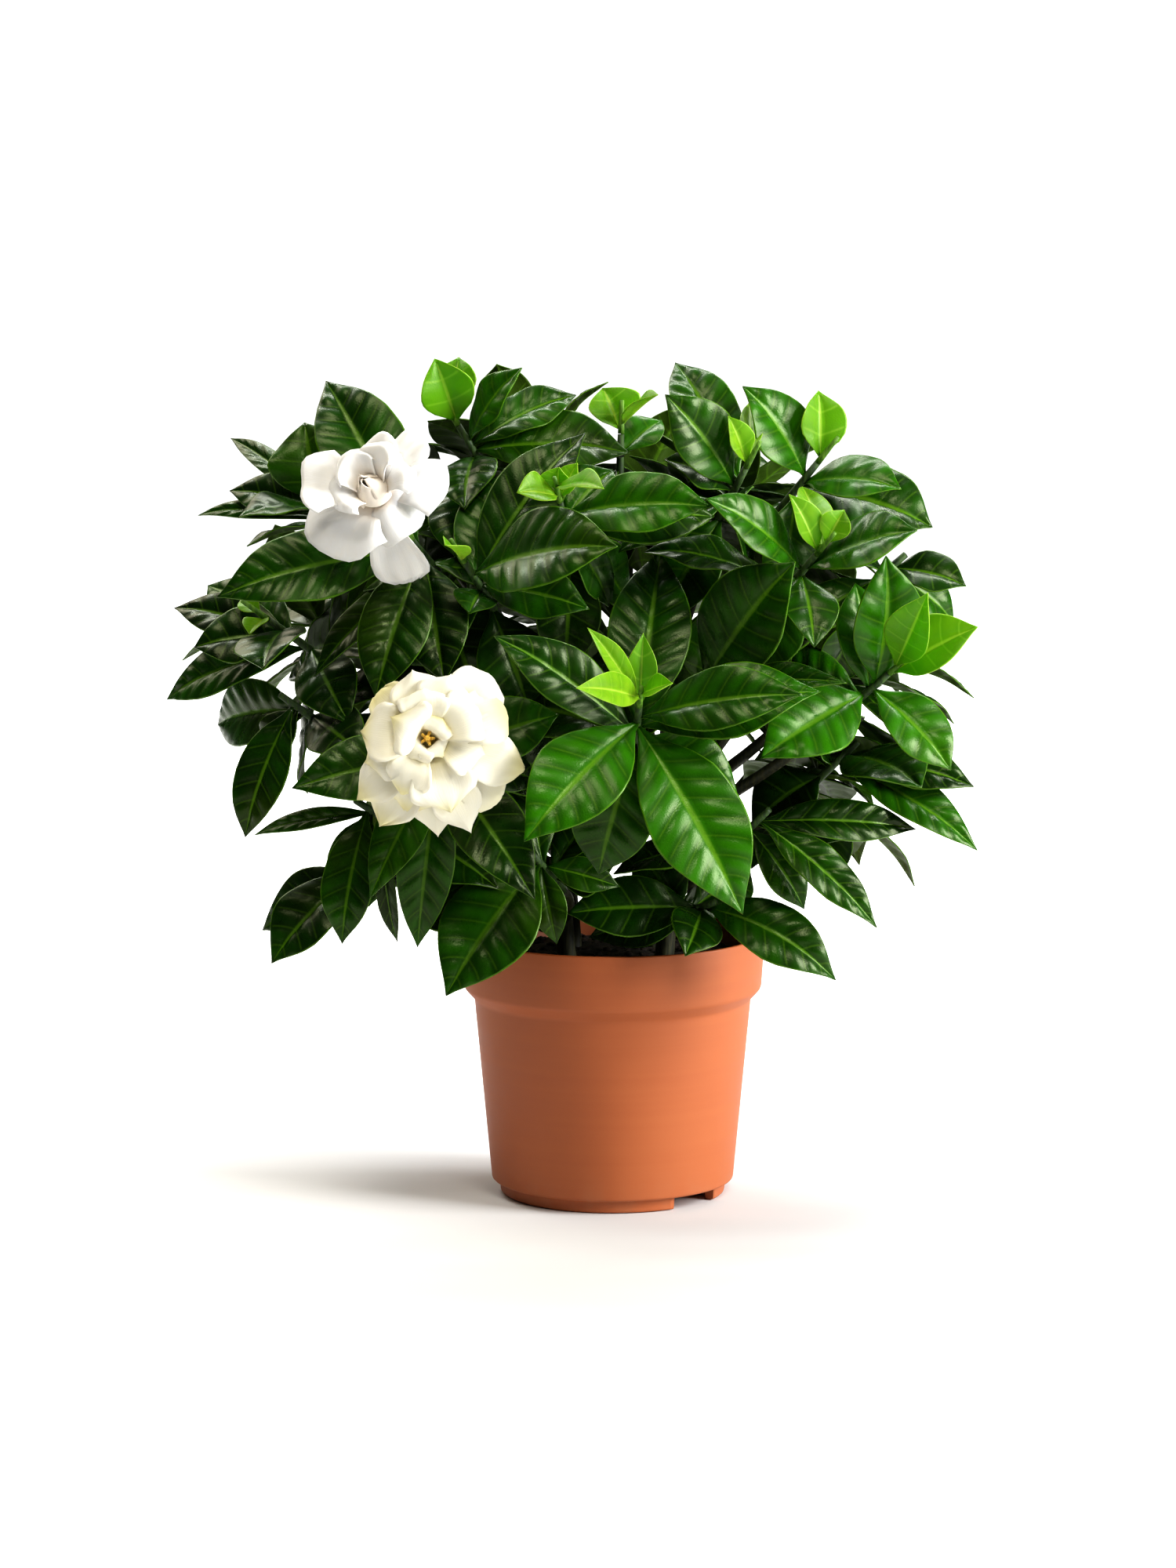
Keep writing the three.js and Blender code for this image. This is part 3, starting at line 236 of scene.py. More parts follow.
# Leaf finish. A side vein's value is 0 on it and 0.5 midway to the next one. The value
# across is 0 on the midrib and 1 on the margin. A share is how much of a colour shows
FADE_OUT = (1, 0)
VEIN_LINE = (0.0, 0.09)
VEIN_END = (0.8, 0.97)
VEIN_SHARE = 0.2
UNDER_VEIN_SHARE = 0.35
# Painted shade: the leaf is darker in the sunken creases along its side veins
CREASE_SHADE_LINE = (0.0, 0.42)
CREASE_SHADE_START = (0.0, 0.3)
CREASE_SHADE_SHARE = 0.45
MIDRIB_LINE = (0.02, 0.09)
MIDRIB_SHARE = 0.55
UNDER_MIDRIB_SHARE = 0.5
# Painted highlight: a pale line along the leaf's margin
MARGIN_HIGHLIGHT_LINE = (0.945, 0.99)
MARGIN_HIGHLIGHT_SHARE = 0.45
LEAF_TONE_SHARE = 0.7
LEAF_MOTTLE_SHARE = 0.5
LEAF_TONES = (0.2, 1.0)
OLIVE_PATCHES = (0.52, 0.72)
OLIVE_SHARE = 0.35
GLOSS_SPREAD = 0.1

# Other finishes
POT_COLOURS = ((0.375, 0.094, 0.024), (0.41, 0.113, 0.032))
POT_DUST = (0.37, 0.16, 0.075)
DUST_HEIGHT = (0.0, 0.02)
DUST_SHARE = 0.25
FLOW_STRETCH = (6, 6, 320)
PEAT_COLOURS = ((0.006, 0.004, 0.003), (0.055, 0.032, 0.018))
POLLEN_COLOURS = ((0.42, 0.22, 0.02), (0.85, 0.58, 0.10))
CRACK_STRETCH = (900, 900, 120)
STREAKS_ALONG = 3
STREAKS_ACROSS = 26
STREAKS_APART = 40
PETAL_CREAM = (0.88, 0.80, 0.40)
PETAL_OCHRE = (0.60, 0.44, 0.12)
HEART_SHARE = 0.95
ROLLED_SHARE = 0.85
STREAK_SHARE = 0.12
OCHRE_SHARE = 0.6

# Blooms, where the solids have them: the middle as [across, up, depth], the way each faces
# and its petals as [angle, length, width, lift of the middle, height of the tip]
BLOOMS = {
    "bloom_1": {
        "centre": (-90.7, 270.7, -96), "facing": (-0.35, -0.75, 0.55), "cupped": True,
        "acute": (0.0,), "breadth": 1.65,
        "petals": ((57, 30, 15, 8, 2), (82, 24, 16, 9, 4), (115, 22, 20, 8, 2),
                   (166, 30, 24, 8, 6), (-136, 30, 40, 7, 3), (-76, 31, 14, 2, -6),
                   (22, 28, 25, 8, 0), (-36, 22, 26, 12, 7), (35, 20, 18, 12, 9),
                   (78, 19, 16, 13, 11), (130, 16, 18, 13, 11), (-170, 17, 22, 12, 10),
                   (-110, 11, 14, 12, 15), (10, 11, 13, 12, 15), (130, 11, 13, 12, 15)),
    },
    "bloom_2": {
        "centre": (-71.7, 176.8, -122), "facing": (-0.05, -0.96, 0.27), "cupped": False,
        "acute": (0.2, 0.7, 1.0, 1.0), "breadth": 0.92,
        "petals": ((103, 29, 24, 8, 3), (135, 28, 20, 6, 1), (71, 28, 24, 10, 6),
                   (47, 36, 26, 7, 1), (22, 33, 26, 9, 4), (-16, 39, 24, 7, -2),
                   (-41, 36, 22, 5, -3), (-66, 40, 22, 7, -2), (-86, 38, 24, 5, -6),
                   (-108, 30, 24, 7, -1), (-122, 39, 24, 4, -7), (-142, 37, 20, 6, -3),
                   (-162, 28, 24, 8, 1), (173, 27, 26, 11, 6), (-73, 31, 30, 12, 5),
                   (30, 24, 26, 14, 9), (95, 21, 24, 13, 8), (-15, 24, 24, 12, 7),
                   (-116, 25, 22, 13, 8), (150, 18, 20, 15, 11), (-140, 12, 14, 10, 9),
                   (60, 11, 14, 10, 9), (-50, 11, 13, 10, 9)),
    },
}
PETAL_ROOT_RADIUS = 2.2
PETAL_BEND = 0.45
PETAL_THICKNESS = 0.5 * MM
PETAL_ROWS = 18
PETAL_COLUMNS = 12
RECEPTACLE_RADIUS = 4
RECEPTACLE_DEPTH = 4
RECEPTACLE_SIDES = 16

# Spread petals
SPREAD_RIPPLE = (0.04, 0.1)
SPREAD_RIPPLES = 3.2
SPREAD_CUP = (0.15, 0.35)
FLATTENING = (0.6, 1)
SPREAD_ROLL = (0.1, 0.45)
SIDES_ROLLING = (0.45, 0.9)
TIP_ROLLING = (0.82, 1.1)
TIP_ROLL_SHARE = 0.5
SHORT_PETAL = 19
SHORT_BREADTH = 1.3
CLOSING = 0.5

# Cupped petals, and how low a petal's tip is when it hangs flat instead
HANGING_HEIGHT = -3
MOST_WRAP = 1.25
WIDE_PETAL = 30
WIDE_SKEW = 0.28
CUPPED_RIPPLE = (0.04, 0.09)
CUPPED_RIPPLES = 2.1
CUPPED_LEAN = (-0.1, 0.1)
RIM_ROLL = (0.02, 0.16)
RIM_ROLLING = (0.75, 1.05)
RIM_WAVE = 0.055
RIM_WAVES = 3.6
CORNER = 0.22
CORNER_POWER_ACROSS = 2.6
CORNER_POWER_ALONG = 1.5
SIDES_LOWER = 0.1

# Petals of a heart, rolled round it. Closing and spiral are in millimetres
HEART_LENGTH = 15
HEART_TURN = 1.75
HEART_SLANT = 0.35
HEART_NARROWEST = 0.75
HEART_BELLY = 0.56
HEART_OPENING = (0, 0.5)
HEART_CLOSING = 4.5
HEART_CLOSES = (0.4, 1)
HEART_SPIRAL = 1.7
HEART_LEAN = 0.24
HEART_SIDES_LOWER = 0.12
HEART_HEIGHTS = (0.95, 1.15)
HEART_TONE = 2.0

# Outlines of a petal as [station, share of the full width]
BLUNT_PETAL = ((0, 0.1), (0.1, 0.18), (0.25, 0.4), (0.42, 0.7), (0.58, 0.92), (0.72, 1.0),
               (0.82, 0.99), (0.9, 0.84), (0.95, 0.62), (0.985, 0.34), (1, 0.1))
SQUARE_PETAL = ((0, 0.1), (0.1, 0.18), (0.25, 0.38), (0.42, 0.62), (0.58, 0.82), (0.72, 0.96),
                (0.84, 1.0), (0.92, 0.97), (0.965, 0.84), (0.99, 0.62), (1, 0.5))
POINTED_PETAL = ((0, 0.1), (0.1, 0.18), (0.25, 0.42), (0.42, 0.76), (0.56, 0.96), (0.68, 1.0),
                 (0.78, 0.87), (0.87, 0.6), (0.94, 0.3), (0.985, 0.1), (1, 0.03))


# Points and lines

def seen(point):
    """A place given as [across, up, depth] from the viewer's side, in metres."""
    across, up, depth = point
    reach = reach_of(depth)
    eye = EYE / MM
    x = eye.x + (across - eye.x) * reach
    z = eye.z + (RISE * up - eye.z) * reach
    return Vector((x, depth, z)) * MM


def reach_of(depth):
    """How large a length at a depth is for its look in the plane of the pot's axis."""
    eye_depth = EYE.y / MM
    return (depth - eye_depth) / -eye_depth


def square_to(v, direction):
    """The part of a vector square to a unit direction, as a unit vector."""
    return (v - direction * v.dot(direction)).normalized()


def curve_point(root, middle, tip, t):
    return root * (1 - t) ** 2 + middle * (2 * t * (1 - t)) + tip * t * t


def curve_way(root, middle, tip, t):
    return ((middle - root) * (1 - t) + (tip - middle) * t).normalized()


def eased(t, low, high):
    """A smooth step from 0 at low to 1 at high."""
    x = min(1.0, max(0.0, (t - low) / (high - low)))
    return x * x * (3 - 2 * x)


def evenly(first, last, steps):
    return [first + (last - first) * i / steps for i in range(steps + 1)]


def outline_at(outline, t):
    """The share of the full width at a station, from a list of (station, share)."""
    stations, shares = zip(*outline)
    return float(np.interp(t, stations, shares))


# Pieces

def new_piece(name, bm, materials, *stands_for):
    """A mesh as a named object that stands for its solids, smooth and no taller than they are."""
    mesh = bpy.data.meshes.new(name)
    for face in bm.faces:
        face.smooth = True
    for vert in bm.verts:
        vert.co.z = min(vert.co.z, solid_box[1][2])
    bm.normal_update()
    bm.to_mesh(mesh)
    bm.free()
    for finish in materials:
        mesh.materials.append(finish)
    piece = bpy.data.objects.new(name, mesh)
    bpy.context.scene.collection.objects.link(piece)
    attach(piece, "root")
    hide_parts(*stands_for)
    return piece


# Blades of the solids

def in_order(verts):
    return sorted(verts, key=lambda vert: vert.index)


def around(vert):
    return {edge.other_vert(vert) for edge in vert.link_edges}


def centre_of(points):
    return sum(points, Vector()) / len(points)


def opposite_midribs(neighbours):
    """The pair of a tip's four neighbours that are the two midrib points, or None."""
    for a, b in combinations(in_order(neighbours), 2):
        if abs((a.co - b.co).length - SOLID_THICKNESS) < THICKNESS_SLACK:
            return a, b
    return None


def read_blades(solid):
    """The blades of a leafy solid, and its stem as (foot, top, foot radius, top radius).

    A blade is a dict with root, middle, tip, up and width. Every blade ends in a point with
    four neighbours, from which its sections of four points are followed to the stem.
    """
    bm = bmesh.new()
    bm.from_mesh(solid.data)
    bmesh.ops.remove_doubles(bm, verts=bm.verts, dist=JOINED)
    bm.verts.index_update()
    used = set()
    blades = []
    for tip in bm.verts:
        near = around(tip)
        midribs = opposite_midribs(near) if len(near) == TIP_NEIGHBOURS else None
        if not midribs:
            continue
        ring = (set(midribs), near - set(midribs))
        rings = [ring]
        known = {tip} | near
        while True:
            extra = [around(v) - known for v in ring[0]]
            if any(len(e) != 1 for e in extra):
                break
            next_midribs = extra[0] | extra[1]
            outer = [around(v) - known - next_midribs for v in ring[1]]
            ring = (next_midribs, outer[0] | outer[1])
            known |= ring[0] | ring[1]
            rings.append(ring)
        socket = in_order(set().union(*(around(v) - known for v in ring[0] | ring[1])))
        used |= known
        blades.append(blade_from(tip.co.copy(), rings[::-1], socket))
    stem = [v.co.copy() for v in bm.verts if v not in used]
    bm.free()
    return blades, read_stem(stem)


def blade_from(tip, rings, socket):
    """A blade's root, bend, tip, upper way and width from its sections, root first."""
    stations, shares = STATIONS[len(rings)]
    root = centre_of([v.co for v in socket])
    ups = []
    middles = []
    widths = []
    for (midribs, edges), share in zip(rings, shares):
        middle = centre_of([v.co for v in midribs])
        edge_points = [v.co for v in edges]
        ups.append((centre_of(edge_points) - middle).normalized())
        widths.append((edge_points[0] - edge_points[1]).length / share)
        middles.append(middle)
    k = len(rings) // 2
    t = stations[k]
    bend = (middles[k] - root * (1 - t) ** 2 - tip * t * t) / (2 * t * (1 - t))
    return {"root": root, "middle": bend, "tip": tip, "up": centre_of(ups).normalized(),
            "width": sum(widths) / len(widths)}


def read_stem(points):
    """A straight stem's two ends and their radii, from its points."""
    middle = centre_of(points)
    far = max(points, key=lambda p: (p - middle).length)
    way = (far - middle).normalized()
    for _ in range(STEM_REFITS):
        ordered = sorted(points, key=lambda p: (p - middle).dot(way))
        foot = centre_of(ordered[:SOLID_STEM_SIDES])
        top = centre_of(ordered[-SOLID_STEM_SIDES:])
        way = (top - foot).normalized()
    foot_radius = (ordered[0] - foot).length
    top_radius = (ordered[-1] - top).length
    if foot_radius < top_radius:
        foot, top, foot_radius, top_radius = top, foot, top_radius, foot_radius
    return foot, top, foot_radius, top_radius


# Sheets and tubes

def sheet_layers(bm, *names):
    """Layers for a sheet's own values, for the way it is thick in and for its under side."""
    layers = {name: bm.verts.layers.float.new(name) for name in names}
    layers["push"] = bm.verts.layers.float_vector.new("push")
    layers["under"] = bm.faces.layers.float.new("under")
    return layers


def faces_of(verts):
    """The faces round some points, each once and always in the same order."""
    return list(dict.fromkeys(face for vert in verts for face in vert.link_faces))


def close_tip(bm, verts, rows):
    """Draws a sheet's last row together in a point, and gives back the sheet's faces."""
    last_row = [vert for index, vert in enumerate(verts) if index % (rows + 1) == rows]
    bmesh.ops.pointmerge(bm, verts=last_row, merge_co=last_row[0].co)
    return faces_of([vert for vert in verts if vert.is_valid])


def thicken(bm, sheets, thickness, layers):
    """Gives sheets their thickness: a second side below the first, marked as the under side."""
    bmesh.ops.extrude_face_region(bm, geom=sheets, use_keep_orig=True)
    for vert in {vert for face in sheets for vert in face.verts}:
        vert.co -= vert[layers["push"]] * thickness
    for face in sheets:
        face[layers["under"]] = 1
    bmesh.ops.recalc_face_normals(bm, faces=bm.faces)


def tube(bm, points, radii, sides):
    """A round tube through points, closed at both ends."""
    rings = []
    start = None
    for i, point in enumerate(points):
        before, after = points[max(i - 1, 0)], points[min(i + 1, len(points) - 1)]
        way = (after - before).normalized()
        if start is None:
            start = square_to(Vector((1, 0, 0)) if abs(way.z) > UPRIGHT else UP, way)
        side = square_to(start, way)
        other = way.cross(side)
        made = bmesh.ops.create_circle(bm, segments=sides, radius=radii[i], cap_ends=False)
        turn = Matrix((side, other, way)).transposed()
        for vert in made["verts"]:
            vert.co = point + turn @ vert.co
        rings.append(made["verts"])
    faces = []
    for low, high in zip(rings, rings[1:]):
        edges = [edge for ring in (low, high) for vert in ring for edge in vert.link_edges
                 if edge.verts[0] in ring and edge.verts[1] in ring]
        bridge = bmesh.ops.bridge_loops(bm, edges=list(dict.fromkeys(edges)))
        faces += bridge["faces"]
    for ring in (rings[0], rings[-1]):
        faces.append(bm.faces.new(ring))
    bmesh.ops.recalc_face_normals(bm, faces=faces)
    return faces


# Shader maths

class Wire:
    """A shader value that takes part in Python sums."""

    def __init__(self, finish, socket):
        self.finish = finish
        self.socket = socket

    def __add__(self, other):
        return self.finish.maths("ADD", self, other)

    def __sub__(self, other):
        return self.finish.maths("SUBTRACT", self, other)

    def __rsub__(self, other):
        return self.finish.maths("SUBTRACT", other, self)

    def __mul__(self, other):
        return self.finish.maths("MULTIPLY", self, other)

    def __abs__(self):
        return self.finish.maths("ABSOLUTE", self)

    __radd__ = __add__
    __rmul__ = __mul__


class Finish:
    """A material and the nodes that make it up."""

    def __init__(self, name, **constants):
        self.material = bpy.data.materials.new(name)
        self.material.use_nodes = True
        self.tree = self.material.node_tree
        self.shader = self.tree.nodes["Principled BSDF"]
        for socket, value in constants.items():
            self.shader.inputs[socket.replace("_", " ")].default_value = value

    def join(self, socket, value):
        if isinstance(value, Wire):
            self.tree.links.new(value.socket, socket)
        elif isinstance(value, tuple) and socket.type == "RGBA":
            socket.default_value = (*value, 1)
        else:
            socket.default_value = value

    def node(self, kind, settings=None, inputs=None, output=0):
        """A node of a type, with its settings first and then its inputs."""
        made = self.tree.nodes.new(kind)
        for name, value in (settings or {}).items():
            setattr(made, name, value)
        for key, value in (inputs or {}).items():
            self.join(made.inputs[key], value)
        return Wire(self, made.outputs[output])

    def maths(self, operation, *values):
        inputs = dict(enumerate(values))
        return self.node("ShaderNodeMath", {"operation": operation}, inputs)

    def attribute(self, name):
        return self.node("ShaderNodeAttribute", {"attribute_name": name}, output="Fac")

    def place(self):
        return self.node("ShaderNodeTexCoord", output="Object")

    def stretched(self, scales):
        """The place, scaled by a number for each axis."""
        return self.node("ShaderNodeMapping", {}, {"Vector": self.place(), "Scale": scales})

    def noise(self, scale, detail=2.0, roughness=0.5, place=None):
        inputs = {"Vector": place or self.place(), "Scale": scale, "Detail": detail,
                  "Roughness": roughness}
        return self.node("ShaderNodeTexNoise", {}, inputs, output="Fac")

    def mix(self, share, first, second):
        """A colour between two."""
        return self.node("ShaderNodeMix", {"data_type": "RGBA"},
                         {0: share, 6: first, 7: second}, output=2)

    def layered(self, colour, *layers):
        """A colour with others laid over it, each given as (share, colour)."""
        for share, over in layers:
            colour = self.mix(share, colour, over)
        return colour

    def spread(self, value, span, onto=(0.0, 1.0)):
        """A value taken smoothly from one range to another."""
        inputs = {"Value": value, "From Min": span[0], "From Max": span[1],
                  "To Min": onto[0], "To Max": onto[1]}
        return self.node("ShaderNodeMapRange", {"interpolation_type": "SMOOTHSTEP"}, inputs)

    def bump(self, height, strength, distance):
        inputs = {"Height": height, "Strength": strength, "Distance": distance}
        return self.node("ShaderNodeBump", {}, inputs)

    def set(self, **sockets):
        for name, value in sockets.items():
            self.join(self.shader.inputs[name.replace("_", " ")], value)


# Finishes

def leaf_finish(name, dark, light, vein, below, olive, gloss, matte, glow):
    """Glossy above with pale veins, painted shade in the creases along the side veins and a
    painted highlight as a pale line along the margin; matte and paler below.
    """
    finish = Finish(name, IOR=1.42, Specular_IOR_Level=0.4, Specular_Tint=(0.88, 1, 0.62, 1),
                    Subsurface_Weight=glow, Subsurface_Radius=(0.0015, 0.003, 0.0004),
                    Subsurface_Scale=1.0)
    across, under = finish.attribute("across"), finish.attribute("under")
    from_vein = 0.5 - abs(finish.maths("FRACT", finish.attribute("vein")) - 0.5)
    side_vein = finish.spread(from_vein, VEIN_LINE, FADE_OUT)
    side_vein = side_vein * finish.spread(across, VEIN_END, FADE_OUT)
    # Painted shade in the creases along the side veins, where the quilted blade sinks
    painted_crease_shade = finish.spread(from_vein, CREASE_SHADE_LINE, (CREASE_SHADE_SHARE, 0))
    painted_crease_shade = painted_crease_shade * finish.spread(across, CREASE_SHADE_START)
    midrib = finish.spread(across, MIDRIB_LINE, FADE_OUT)
    # Painted highlight: a pale line along the margin
    margin = finish.spread(across, MARGIN_HIGHLIGHT_LINE)
    mottle = finish.noise(scale=70, detail=3)
    tone = finish.attribute("tone") * LEAF_TONE_SHARE + mottle * LEAF_MOTTLE_SHARE
    patches = finish.spread(finish.noise(scale=16, detail=2), OLIVE_PATCHES)
    body = finish.layered(
        finish.mix(finish.spread(tone, LEAF_TONES), dark, light), (patches * OLIVE_SHARE, olive),
        (painted_crease_shade, dark), (side_vein * VEIN_SHARE, vein), (midrib * MIDRIB_SHARE, vein),
        (margin * MARGIN_HIGHLIGHT_SHARE, vein))
    under_lines = side_vein * UNDER_VEIN_SHARE + midrib * UNDER_MIDRIB_SHARE
    fine = finish.noise(scale=1500, detail=2)
    cells = finish.node("ShaderNodeTexVoronoi", {"feature": "DISTANCE_TO_EDGE"},
                        {"Vector": finish.place(), "Scale": 900})
    rough = finish.noise(scale=160, detail=2)
    rough = finish.spread(rough, (0.3, 0.8), (gloss, gloss + GLOSS_SPREAD))
    finish.set(Base_Color=finish.mix(under, body, finish.mix(under_lines, below, vein)),
               Roughness=rough * (1 - under) + matte * under,
               Normal=finish.bump(fine * 0.5 + cells, strength=0.12, distance=0.0004))
    return finish.material


def stem_finish(name, groove, ridge):
    """Skin of a stem, with fine lengthwise cracks."""
    finish = Finish(name)
    grain = finish.noise(scale=1.0, detail=3.0, place=finish.stretched(CRACK_STRETCH))
    finish.set(Base_Color=finish.mix(finish.spread(grain, (0.35, 0.7)), groove, ridge),
               Roughness=finish.spread(grain, (0.3, 0.8), (0.55, 0.8)),
               Normal=finish.bump(grain, strength=0.5, distance=0.0003))
    return finish.material


def pot_finish():
    """Moulded terracotta-coloured plastic: satin, with faint flow marks and dust low down."""
    finish = Finish("terracotta_plastic", IOR=1.46, Specular_IOR_Level=0.55)
    height = finish.node("ShaderNodeSeparateXYZ", {}, {"Vector": finish.place()}, output="Z")
    broad = finish.noise(scale=14, detail=3)
    grain = finish.noise(scale=2600, detail=1)
    rings = finish.noise(scale=1.0, detail=2.0, place=finish.stretched(FLOW_STRETCH))
    shade = finish.spread(broad * 0.7 + rings * 0.3, (0.3, 0.7))
    dust = finish.spread(height, DUST_HEIGHT, (DUST_SHARE, 0.0))
    dust = dust * finish.spread(finish.noise(scale=90, detail=4), (0.4, 0.7))
    finish.set(Base_Color=finish.mix(dust, finish.mix(shade, *POT_COLOURS), POT_DUST),
               Roughness=finish.spread(broad + rings * 0.3, (0.3, 0.9), (0.5, 0.64)),
               Normal=finish.bump(grain * 0.6 + rings, strength=0.05, distance=0.0005))
    return finish.material


def soil_finish():
    """Dark moist peat with bark bits."""
    finish = Finish("peat")
    grain = finish.noise(scale=420, detail=5, roughness=0.7)
    clod = finish.noise(scale=60, detail=3)
    finish.set(Base_Color=finish.mix(finish.spread(grain, (0.35, 0.75)), *PEAT_COLOURS),
               Roughness=finish.spread(clod, (0.3, 0.7), (0.75, 0.98)),
               Normal=finish.bump(grain + clod, strength=0.8, distance=0.001))
    return finish.material


def petal_finish(name, white, heart, aged):
    """Soft white petals, cream at the heart, yellowing at the edges with age."""
    finish = Finish(name, Sheen_Weight=0.15, Sheen_Roughness=0.5, IOR=1.4,
                    Subsurface_Weight=0.15, Subsurface_Radius=(0.004, 0.003, 0.002),
                    Subsurface_Scale=1.0)
    along, across = finish.attribute("along"), finish.attribute("across")
    tone = finish.attribute("tone")
    place = finish.node("ShaderNodeCombineXYZ", {}, {
        0: along * STREAKS_ALONG, 1: across * STREAKS_ACROSS, 2: tone * STREAKS_APART})
    streaks = finish.noise(scale=1.0, detail=3.0, place=place)
    edge = finish.spread(along, (0.74, 1.0))
    spots = finish.spread(finish.noise(scale=110, detail=3), (0.45, 0.75))
    yellowed = edge * aged * finish.spread(tone, (0.2, 0.6))
    browned = edge * spots * aged * finish.spread(tone, (0.6, 0.9))
    colour = finish.layered(
        white, (finish.spread(along, (0.0, 0.55), (HEART_SHARE, 0.0)), heart),
        (finish.spread(tone, (1.2, 1.8)) * ROLLED_SHARE, heart),
        (finish.spread(streaks, (0.45, 0.8)) * STREAK_SHARE, heart),
        (yellowed, PETAL_CREAM), (browned * OCHRE_SHARE, PETAL_OCHRE))
    finish.set(Base_Color=colour, Roughness=finish.spread(streaks, (0.3, 0.8), (0.45, 0.62)),
               Normal=finish.bump(streaks, strength=0.18, distance=0.0006))
    return finish.material


def calyx_finish(name, dark, light, gloss):
    """Smooth green skin of calyx and sepals."""
    finish = Finish(name)
    mottle = finish.noise(scale=180, detail=3)
    fine = finish.noise(scale=900, detail=2)
    finish.set(Base_Color=finish.mix(finish.spread(mottle, (0.3, 0.7)), dark, light),
               Roughness=finish.spread(mottle, (0.3, 0.7), (gloss, gloss + 0.12)),
               Normal=finish.bump(fine, strength=0.1, distance=0.0003))
    return finish.material


def pollen_finish():
    """Dry yellow grains."""
    finish = Finish("pollen")
    grain = finish.noise(scale=1400, detail=3)
    finish.set(Base_Color=finish.mix(finish.spread(grain, (0.35, 0.7)), *POLLEN_COLOURS),
               Roughness=finish.spread(grain, (0.3, 0.7), (0.6, 0.85)),
               Normal=finish.bump(grain, strength=0.5, distance=0.0003))
    return finish.material


mature = leaf_finish(
    "mature_leaf", dark=(0.0013, 0.0072, 0.0002), light=(0.025, 0.14, 0.0006),
    vein=(0.12, 0.27, 0.012), below=(0.036, 0.075, 0.005), olive=(0.040, 0.068, 0.0015),
    gloss=0.26, matte=0.45, glow=0.0)
young = leaf_finish(
    "young_leaf", dark=(0.075, 0.21, 0.004), light=(0.26, 0.43, 0.016),
    vein=(0.40, 0.58, 0.07), below=(0.27, 0.41, 0.035), olive=(0.30, 0.40, 0.02),
    gloss=0.32, matte=0.45, glow=0.35)
bark = stem_finish("bark", groove=(0.013, 0.016, 0.005), ridge=(0.055, 0.055, 0.02))
green_stem = stem_finish("green_stem", groove=(0.012, 0.035, 0.004), ridge=(0.045, 0.1, 0.012))
young_stem = stem_finish("young_stem", groove=(0.06, 0.16, 0.01), ridge=(0.16, 0.32, 0.03))
terracotta = pot_finish()
peat = soil_finish()
fresh_petals = petal_finish("fresh_petals", white=(0.845, 0.835, 0.815),
                            heart=(0.85, 0.745, 0.62), aged=0.0)
aged_petals = petal_finish("aged_petals", white=(0.95, 0.91, 0.74),
                           heart=(0.92, 0.82, 0.46), aged=1.0)
calyx_green = calyx_finish("calyx_green", dark=(0.10, 0.22, 0.03), light=(0.2, 0.36, 0.06),
                           gloss=0.4)
pollen = pollen_finish()


# Leaves

def leaf_grid(bm, layers, leaf, kind, draws):
    """One leaf as a quilted sheet in the mesh. Its rows run along the side veins."""
    twist = math.radians(draws.uniform(-TWIST, TWIST))
    length = (leaf["tip"] - leaf["root"]).length
    veins = min(MOST_VEINS, max(FEWEST_VEINS, round(length / VEIN_SPACING)))
    rows = veins * kind["rows_a_vein"]
    columns = kind["columns"]
    made = bmesh.ops.create_grid(bm, x_segments=rows, y_segments=len(columns) - 1, size=1)
    half_width = kind["breadth"] * leaf["width"] / 2
    phase = draws.uniform(0, math.tau)
    waves = draws.uniform(*MARGIN_WAVES)
    wave = draws.uniform(*MARGIN_WAVE_SPREAD) * MARGIN_WAVE
    relief = kind["relief"] * draws.uniform(*RELIEF_SPREAD) * min(1, length / FULL_RELIEF_LENGTH)
    tone, fullness = leaf["tone"], draws.random()
    line = (leaf["root"], leaf["middle"], leaf["tip"])
    for index, vert in enumerate(made["verts"]):
        row, column = index % (rows + 1), index // (rows + 1)
        u, s = row / rows, columns[column]
        bow = math.sin(math.pi * u) ** VEIN_ROUNDING * (1 - u * VEIN_EASING)
        t = min(u + VEIN_LEAN * abs(s) * bow, 1)
        pointed, full = outline_at(POINTED_OUTLINE, t), outline_at(FULL_OUTLINE, t)
        half = half_width * (pointed + (full - pointed) * fullness)
        way = curve_way(*line, t)
        normal = Matrix.Rotation(twist * (t - TWIST_FROM), 3, way) @ square_to(leaf["up"], way)
        side = normal.cross(way)
        quilt = abs(math.sin(math.pi * veins * u)) ** QUILT_ROUNDING
        quilt *= (1 - abs(s) ** QUILT_EDGE_POWER) * min(1, half / QUILT_WIDTH)
        groove = math.exp(-(s * half / GROOVE_WIDTH) ** 2) * min(1, half / GROOVED_WIDTH)
        turn = math.tau * waves * t + phase + (SIDES_APART if s > 0 else 0)
        height = kind["fold"] * half * abs(s)
        height += HALF_BULGE * half * math.sin(math.pi * abs(s))
        height += relief * quilt * eased(abs(s), *QUILT_START)
        height -= TIP_DROP * length * eased(t, *DROPPING)
        height -= GROOVE_DEPTH * groove
        height += wave * half * s * s * math.sin(turn)
        vert.co = curve_point(*line, t) + side * (s * half) + normal * height
        vert[layers["push"]] = normal
        vert[layers["across"]] = abs(s)
        vert[layers["vein"]] = u * veins
        vert[layers["tone"]] = tone
    return close_tip(bm, made["verts"], rows)


